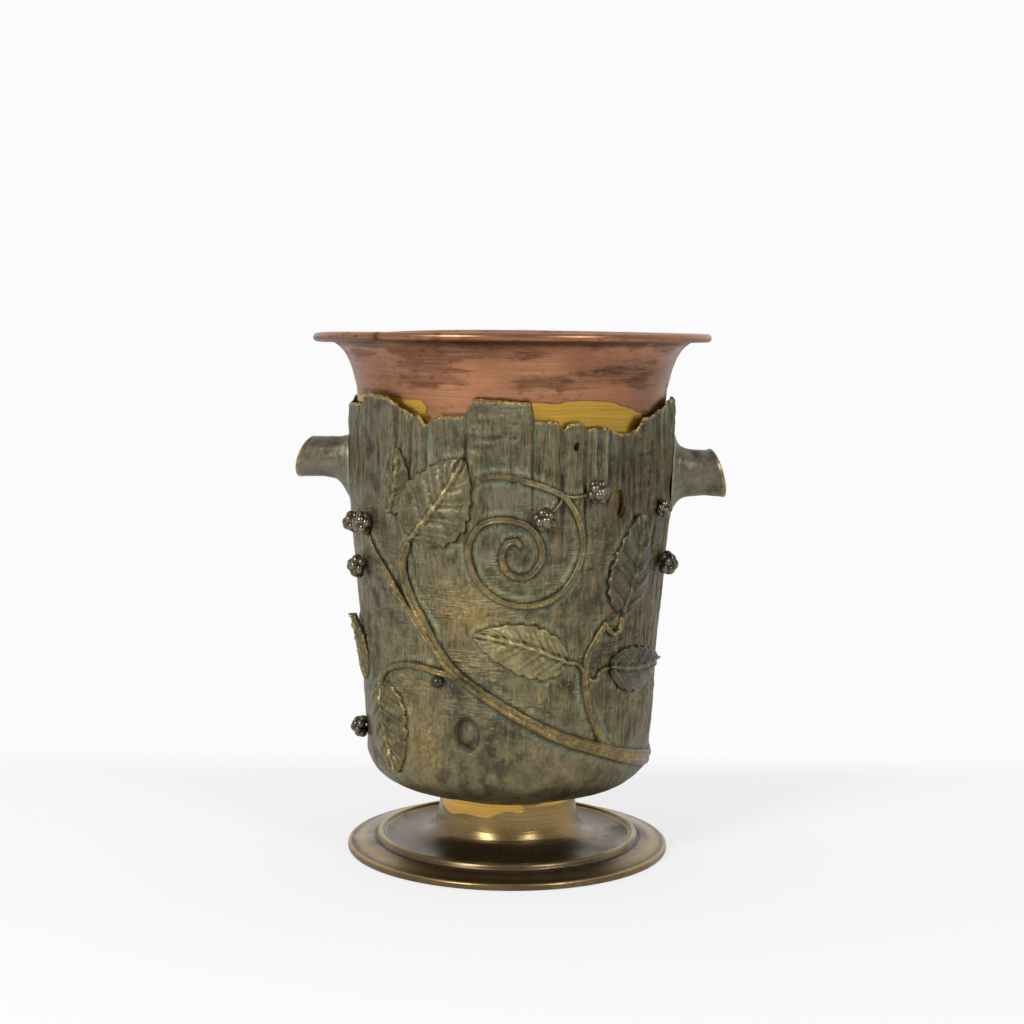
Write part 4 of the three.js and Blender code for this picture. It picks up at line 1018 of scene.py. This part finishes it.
# %% [markdown]
# Turned and spun work is one line swung round the axis. The line has only the corners that the
# shape needs, and cutting its corners twice rounds them as a lathe tool or a spinning roller would.

# %% Turning
TURN_STEPS = 256


def rounded(line, closed, times=2):
    line = np.array(line, float)
    for _ in range(times):
        after = np.roll(line, -1, axis=0) if closed else line[1:]
        before = line if closed else line[:-1]
        pairs = np.stack([before * 0.75 + after * 0.25, before * 0.25 + after * 0.75], axis=1)
        pairs = pairs.reshape(-1, 2)
        line = pairs if closed else np.vstack([line[:1], pairs[1:-1], line[-1:]])
    return line


def turn_piece(name, line, material, body, closed, shape, marking):
    angle = np.linspace(-180, 180, TURN_STEPS, endpoint=False)[None, :]
    radius, z, wide = np.broadcast_arrays(line[:, :1], line[:, 1:], angle)
    radius, z = shape(radius, wide, z)
    loops = around(radius, wide, z)
    return skin(name, loops, material, body, [name], marking(radius, wide, z), endless=closed)


# %% [markdown]
# The foot is turned brass: a flange, a raised ring, a dish and a hollow-sided neck. The lathe's
# edges are rubbed bright, the dish is dark with old polish, and some lacquer is left on the neck.
# The groove outside the ring and the step inside the lip are darkened as painted shade, and the
# neck is lightened on its front as painted sheen.

# %% Foot
FOOT_OUTSIDE = [
    (81.3, 0), (82, 0.5), (82, 2.5), (81.6, 3.2), (80.8, 3.5), (79.2, 3.7), (76.5, 4.2), (73.2, 4.9),
    (70.2, 5.6), (68.6, 5.7), (67.4, 5.7), (67.1, 6.4), (66.7, 7.8), (65.9, 8.5), (64.8, 8.6),
    (63.9, 8.2), (63.3, 7.4), (62, 6.7), (59, 6.3), (54, 6.2), (49, 6.5), (44.4, 7.4), (40.6, 9),
    (37.8, 11.6), (36.2, 15), (35.4, 19.4), (34.9, 24), (34.6, 28.4), (34.5, 29.9), (33.9, 30),
]
FOOT_INSIDE = [
    (4.3, 30), (4.3, 26), (31.4, 26), (32.2, 18), (34.4, 10.6), (40.4, 4.6), (48, 3.2), (61.2, 3.2),
    (72.5, 2), (76.5, 0),
]


def foot_marks(radius, angle, z):
    outside = z > 3.4
    edge = 22 + 3 * ripple(angle, 30.0, 26, 300, 82)
    front = eased(angle, 5, 15) * (1 - eased(angle, 60, 75)) + 0.9 * (np.abs(angle) > 120)
    bright = eased(angle, -80, -66) * (1 - eased(angle, 8, 22))
    gilt = np.maximum(0.5 * front * eased(z, 26, 28), 0.78 * bright * eased(z, edge, edge + 2.4))
    ring = np.exp(-((radius - 65.2) / 0.9) ** 2) * (z > 8) * 0.6
    inner_line = np.exp(-((radius - 62.6) / 0.5) ** 2) * (z > 6) * 0.35
    lip = np.exp(-((radius - 81.2) / 0.8) ** 2) * (z > 2.6) * 0.5
    uneven = 0.7 + 0.3 * ripple(angle, 20.0, 40, 300, 83)
    band = np.exp(-((radius - 75.2) / 2.8) ** 2) * outside * 0.4 * uneven
    # Painted sheen: the neck is lighter on its front, on top of the rubbed brass all round.
    front_sheen = eased(angle, -50, -30) * (1 - eased(angle, 60, 80))
    neck = (0.1 + 0.26 * front_sheen) * eased(z, 9, 16) * outside
    # Painted shade in the groove outside the ring and at the step inside the lip; the dish is dark with old
    # polish.
    groove = np.exp(-((radius - 67.9) / 0.8) ** 2) * (z > 4) * (z < 6.6) * 0.6
    dish = eased(radius, 40, 46) * (radius < 62.5) * outside * 0.24
    outer_dark = np.exp(-((radius - 79.4) / 0.9) ** 2) * outside * 0.35
    wear = np.clip(ring + inner_line + lip + band + neck, 0, 1)
    return {"gilt": gilt * outside, "wear": wear, "soot_and_shade": np.clip(groove + dish + outer_dark, 0, 1)}


def as_turned(radius, angle, z):
    return radius, z


foot_line = rounded(FOOT_OUTSIDE + FOOT_INSIDE, True)
turn_piece("pedestal_foot", foot_line, BRASS, "vase", True, as_turned, foot_marks)

# %% [markdown]
# The liner is spun from copper sheet 0.9 mm thick. Its underside is drawn as a line, from the middle
# of the floor up to the flare and round the wire of the rim, and the sheet is given its thickness
# on the inner side. It stands in the trunk with room all round, so it can be lifted out.

# %% Liner
RIM_TOP = TRUNK_TOP + 29.9
BEAD_RADIUS = 2.1
BEAD_CENTRE = 99.9 - BEAD_RADIUS
COPPER_THICKNESS = 0.9
LINER_ROOM = 2.8
LINER_FLAT = 38
LINER_BASE = FLOOR_TOP + 0.3
FLARE = [(30, 0.01), (24.4, 0.08), (18.7, 0.145), (12.6, 0.25), (7.6, 0.4), (4.3, 0.6), (2.3, 0.86)]


def liner_underside():
    line = [(0.6, LINER_BASE + 5.5), (10.4, LINER_BASE + 4), (19.5, LINER_BASE + 0.9), (26, LINER_BASE),
            (LINER_FLAT, LINER_BASE)]
    shoulder = float(bark_radius(BOWL_TOP)) - WALL - LINER_ROOM
    for turn in (22, 44, 66, 80):
        radius = LINER_FLAT + (shoulder - LINER_FLAT) * sin(radians(turn))
        line.append((radius, BOWL_TOP - (BOWL_TOP - LINER_BASE) * cos(radians(turn))))
    neck = RIM_TOP - FLARE[0][0]
    line += [(float(bark_radius(z)) - WALL - LINER_ROOM, z) for z in np.linspace(BOWL_TOP, neck, 9)[:-1]]
    body = float(bark_radius(TRUNK_TOP)) - WALL - LINER_ROOM
    line += [(body + (BEAD_CENTRE - body) * share, RIM_TOP - depth) for depth, share in FLARE]
    wire = BEAD_RADIUS - COPPER_THICKNESS
    turns = np.radians(np.linspace(105, -165, 16))
    line += [(BEAD_CENTRE + wire * cos(t), RIM_TOP - BEAD_RADIUS + wire * sin(t)) for t in turns]
    return np.array(line)


def sheet(line, thickness):
    slope = np.gradient(line, axis=0)
    slope /= np.linalg.norm(slope, axis=1)[:, None]
    other = line + np.stack([-slope[:, 1], slope[:, 0]], -1) * thickness
    other[:, 0] = np.maximum(other[:, 0], 0.5)
    return np.vstack([line, other[::-1]])


def liner_shape(radius, angle, z):
    """Handling has pulled the rim a little out of true, most at the back on the left."""
    free = eased(z, RIM_TOP - 26, RIM_TOP - 2)
    sag = 2.6 * np.exp(-((angle + 112) / 34) ** 2) + 0.5 * (1 - np.cos(np.radians(angle * 2 - 40))) / 2
    dents = 0.12 * ripple(angle, z * 0.6, 60, 40, 91)
    return radius + dents * eased(z, 60, 90) * (1 - free), z - (sag + 0.1) * free


LACQUER_ANGLES = [-60, -51, -40, -34, -31, -27, -21, 3, 6, 16, 24, 34, 47, 58, 72, 110, 130, 160]
LACQUER_TOPS = [234, 234.5, 233.3, 232, 228.5, 223.5, 212, 200, 231, 230.8, 232.9, 232, 229, 226,
                200, 200, 228, 222]


def liner_marks(radius, angle, z):
    """Lacquer up to a wandering line, outside only; painted shade under the rim; dark marks at two nicks
    and soot in clouds.
    """
    rows = radius.shape[0] // 2
    under_rim = z < RIM_TOP - 6
    line = np.interp(angle, LACQUER_ANGLES, LACQUER_TOPS)
    gilt = np.clip(0.46 + (line - z) / 6, 0, 1) * np.clip(0.46 + (z - 186) / 18, 0, 1) * under_rim
    gilt[rows:] = 0
    nick = np.exp(-((angle + 39.5) / 1.1) ** 2) + 0.6 * np.exp(-((angle + 20.5) / 0.8) ** 2)
    # Painted shade in a band under the rim's bead; dark marks at two nicks in the bead.
    dark = nick * (radius > 97) * 0.8 + 0.5 * np.exp(-((z - RIM_TOP + 4.6) / 1.5) ** 2) * (radius > 88)
    smoke = eased(angle, 14, 24) * (1 - eased(angle, 58, 70)) * np.exp(-((z - 246) / 7) ** 2) * 0.35
    smoke += np.exp(-((angle + 12) / 12) ** 2 - ((z - 256) / 4.5) ** 2) * 0.4
    bead = 1.0 * (radius > 96)
    dull = 1 - eased(z, 204, 216)
    return {"gilt": gilt, "dull": dull, "hollow": bead, "soot_and_shade": np.clip(dark + smoke, 0, 0.9)}


liner_line = rounded(sheet(liner_underside(), COPPER_THICKNESS), False, 1)
turn_piece("liner_vessel", liner_line, COPPER, "liner", False, liner_shape, liner_marks)

# %% [markdown]
# The rim is rolled round a steel wire. The wire is turned here too, with the same sag as the rim:
# the frame's own wire is level, and would show above the copper where the rim has dropped.

# %% Wire in the rim
WIRE_RADIUS = 1.1
WIRE_SIDES = 12


def wire_line():
    turns = np.linspace(0, 2 * pi, WIRE_SIDES, endpoint=False)
    ring = np.stack([np.cos(turns), np.sin(turns)], -1) * WIRE_RADIUS
    return ring + [BEAD_CENTRE, RIM_TOP - BEAD_RADIUS]


def no_marks(radius, angle, z):
    return {}


turn_piece("rim_wire", wire_line(), STEEL, "liner", True, liner_shape, no_marks)

# %% [markdown]
# The bolt, the nut, the washer and the screws keep the shapes of the frame.
# They are plain turned steel, so they only need its finish.

# %% Hardware
for node in ("tie_bolt", "tie_nut", "tie_washer", "stub_screw_left", "stub_screw_right"):
    for slot in bpy.data.objects[node].material_slots:
        slot.material = STEEL
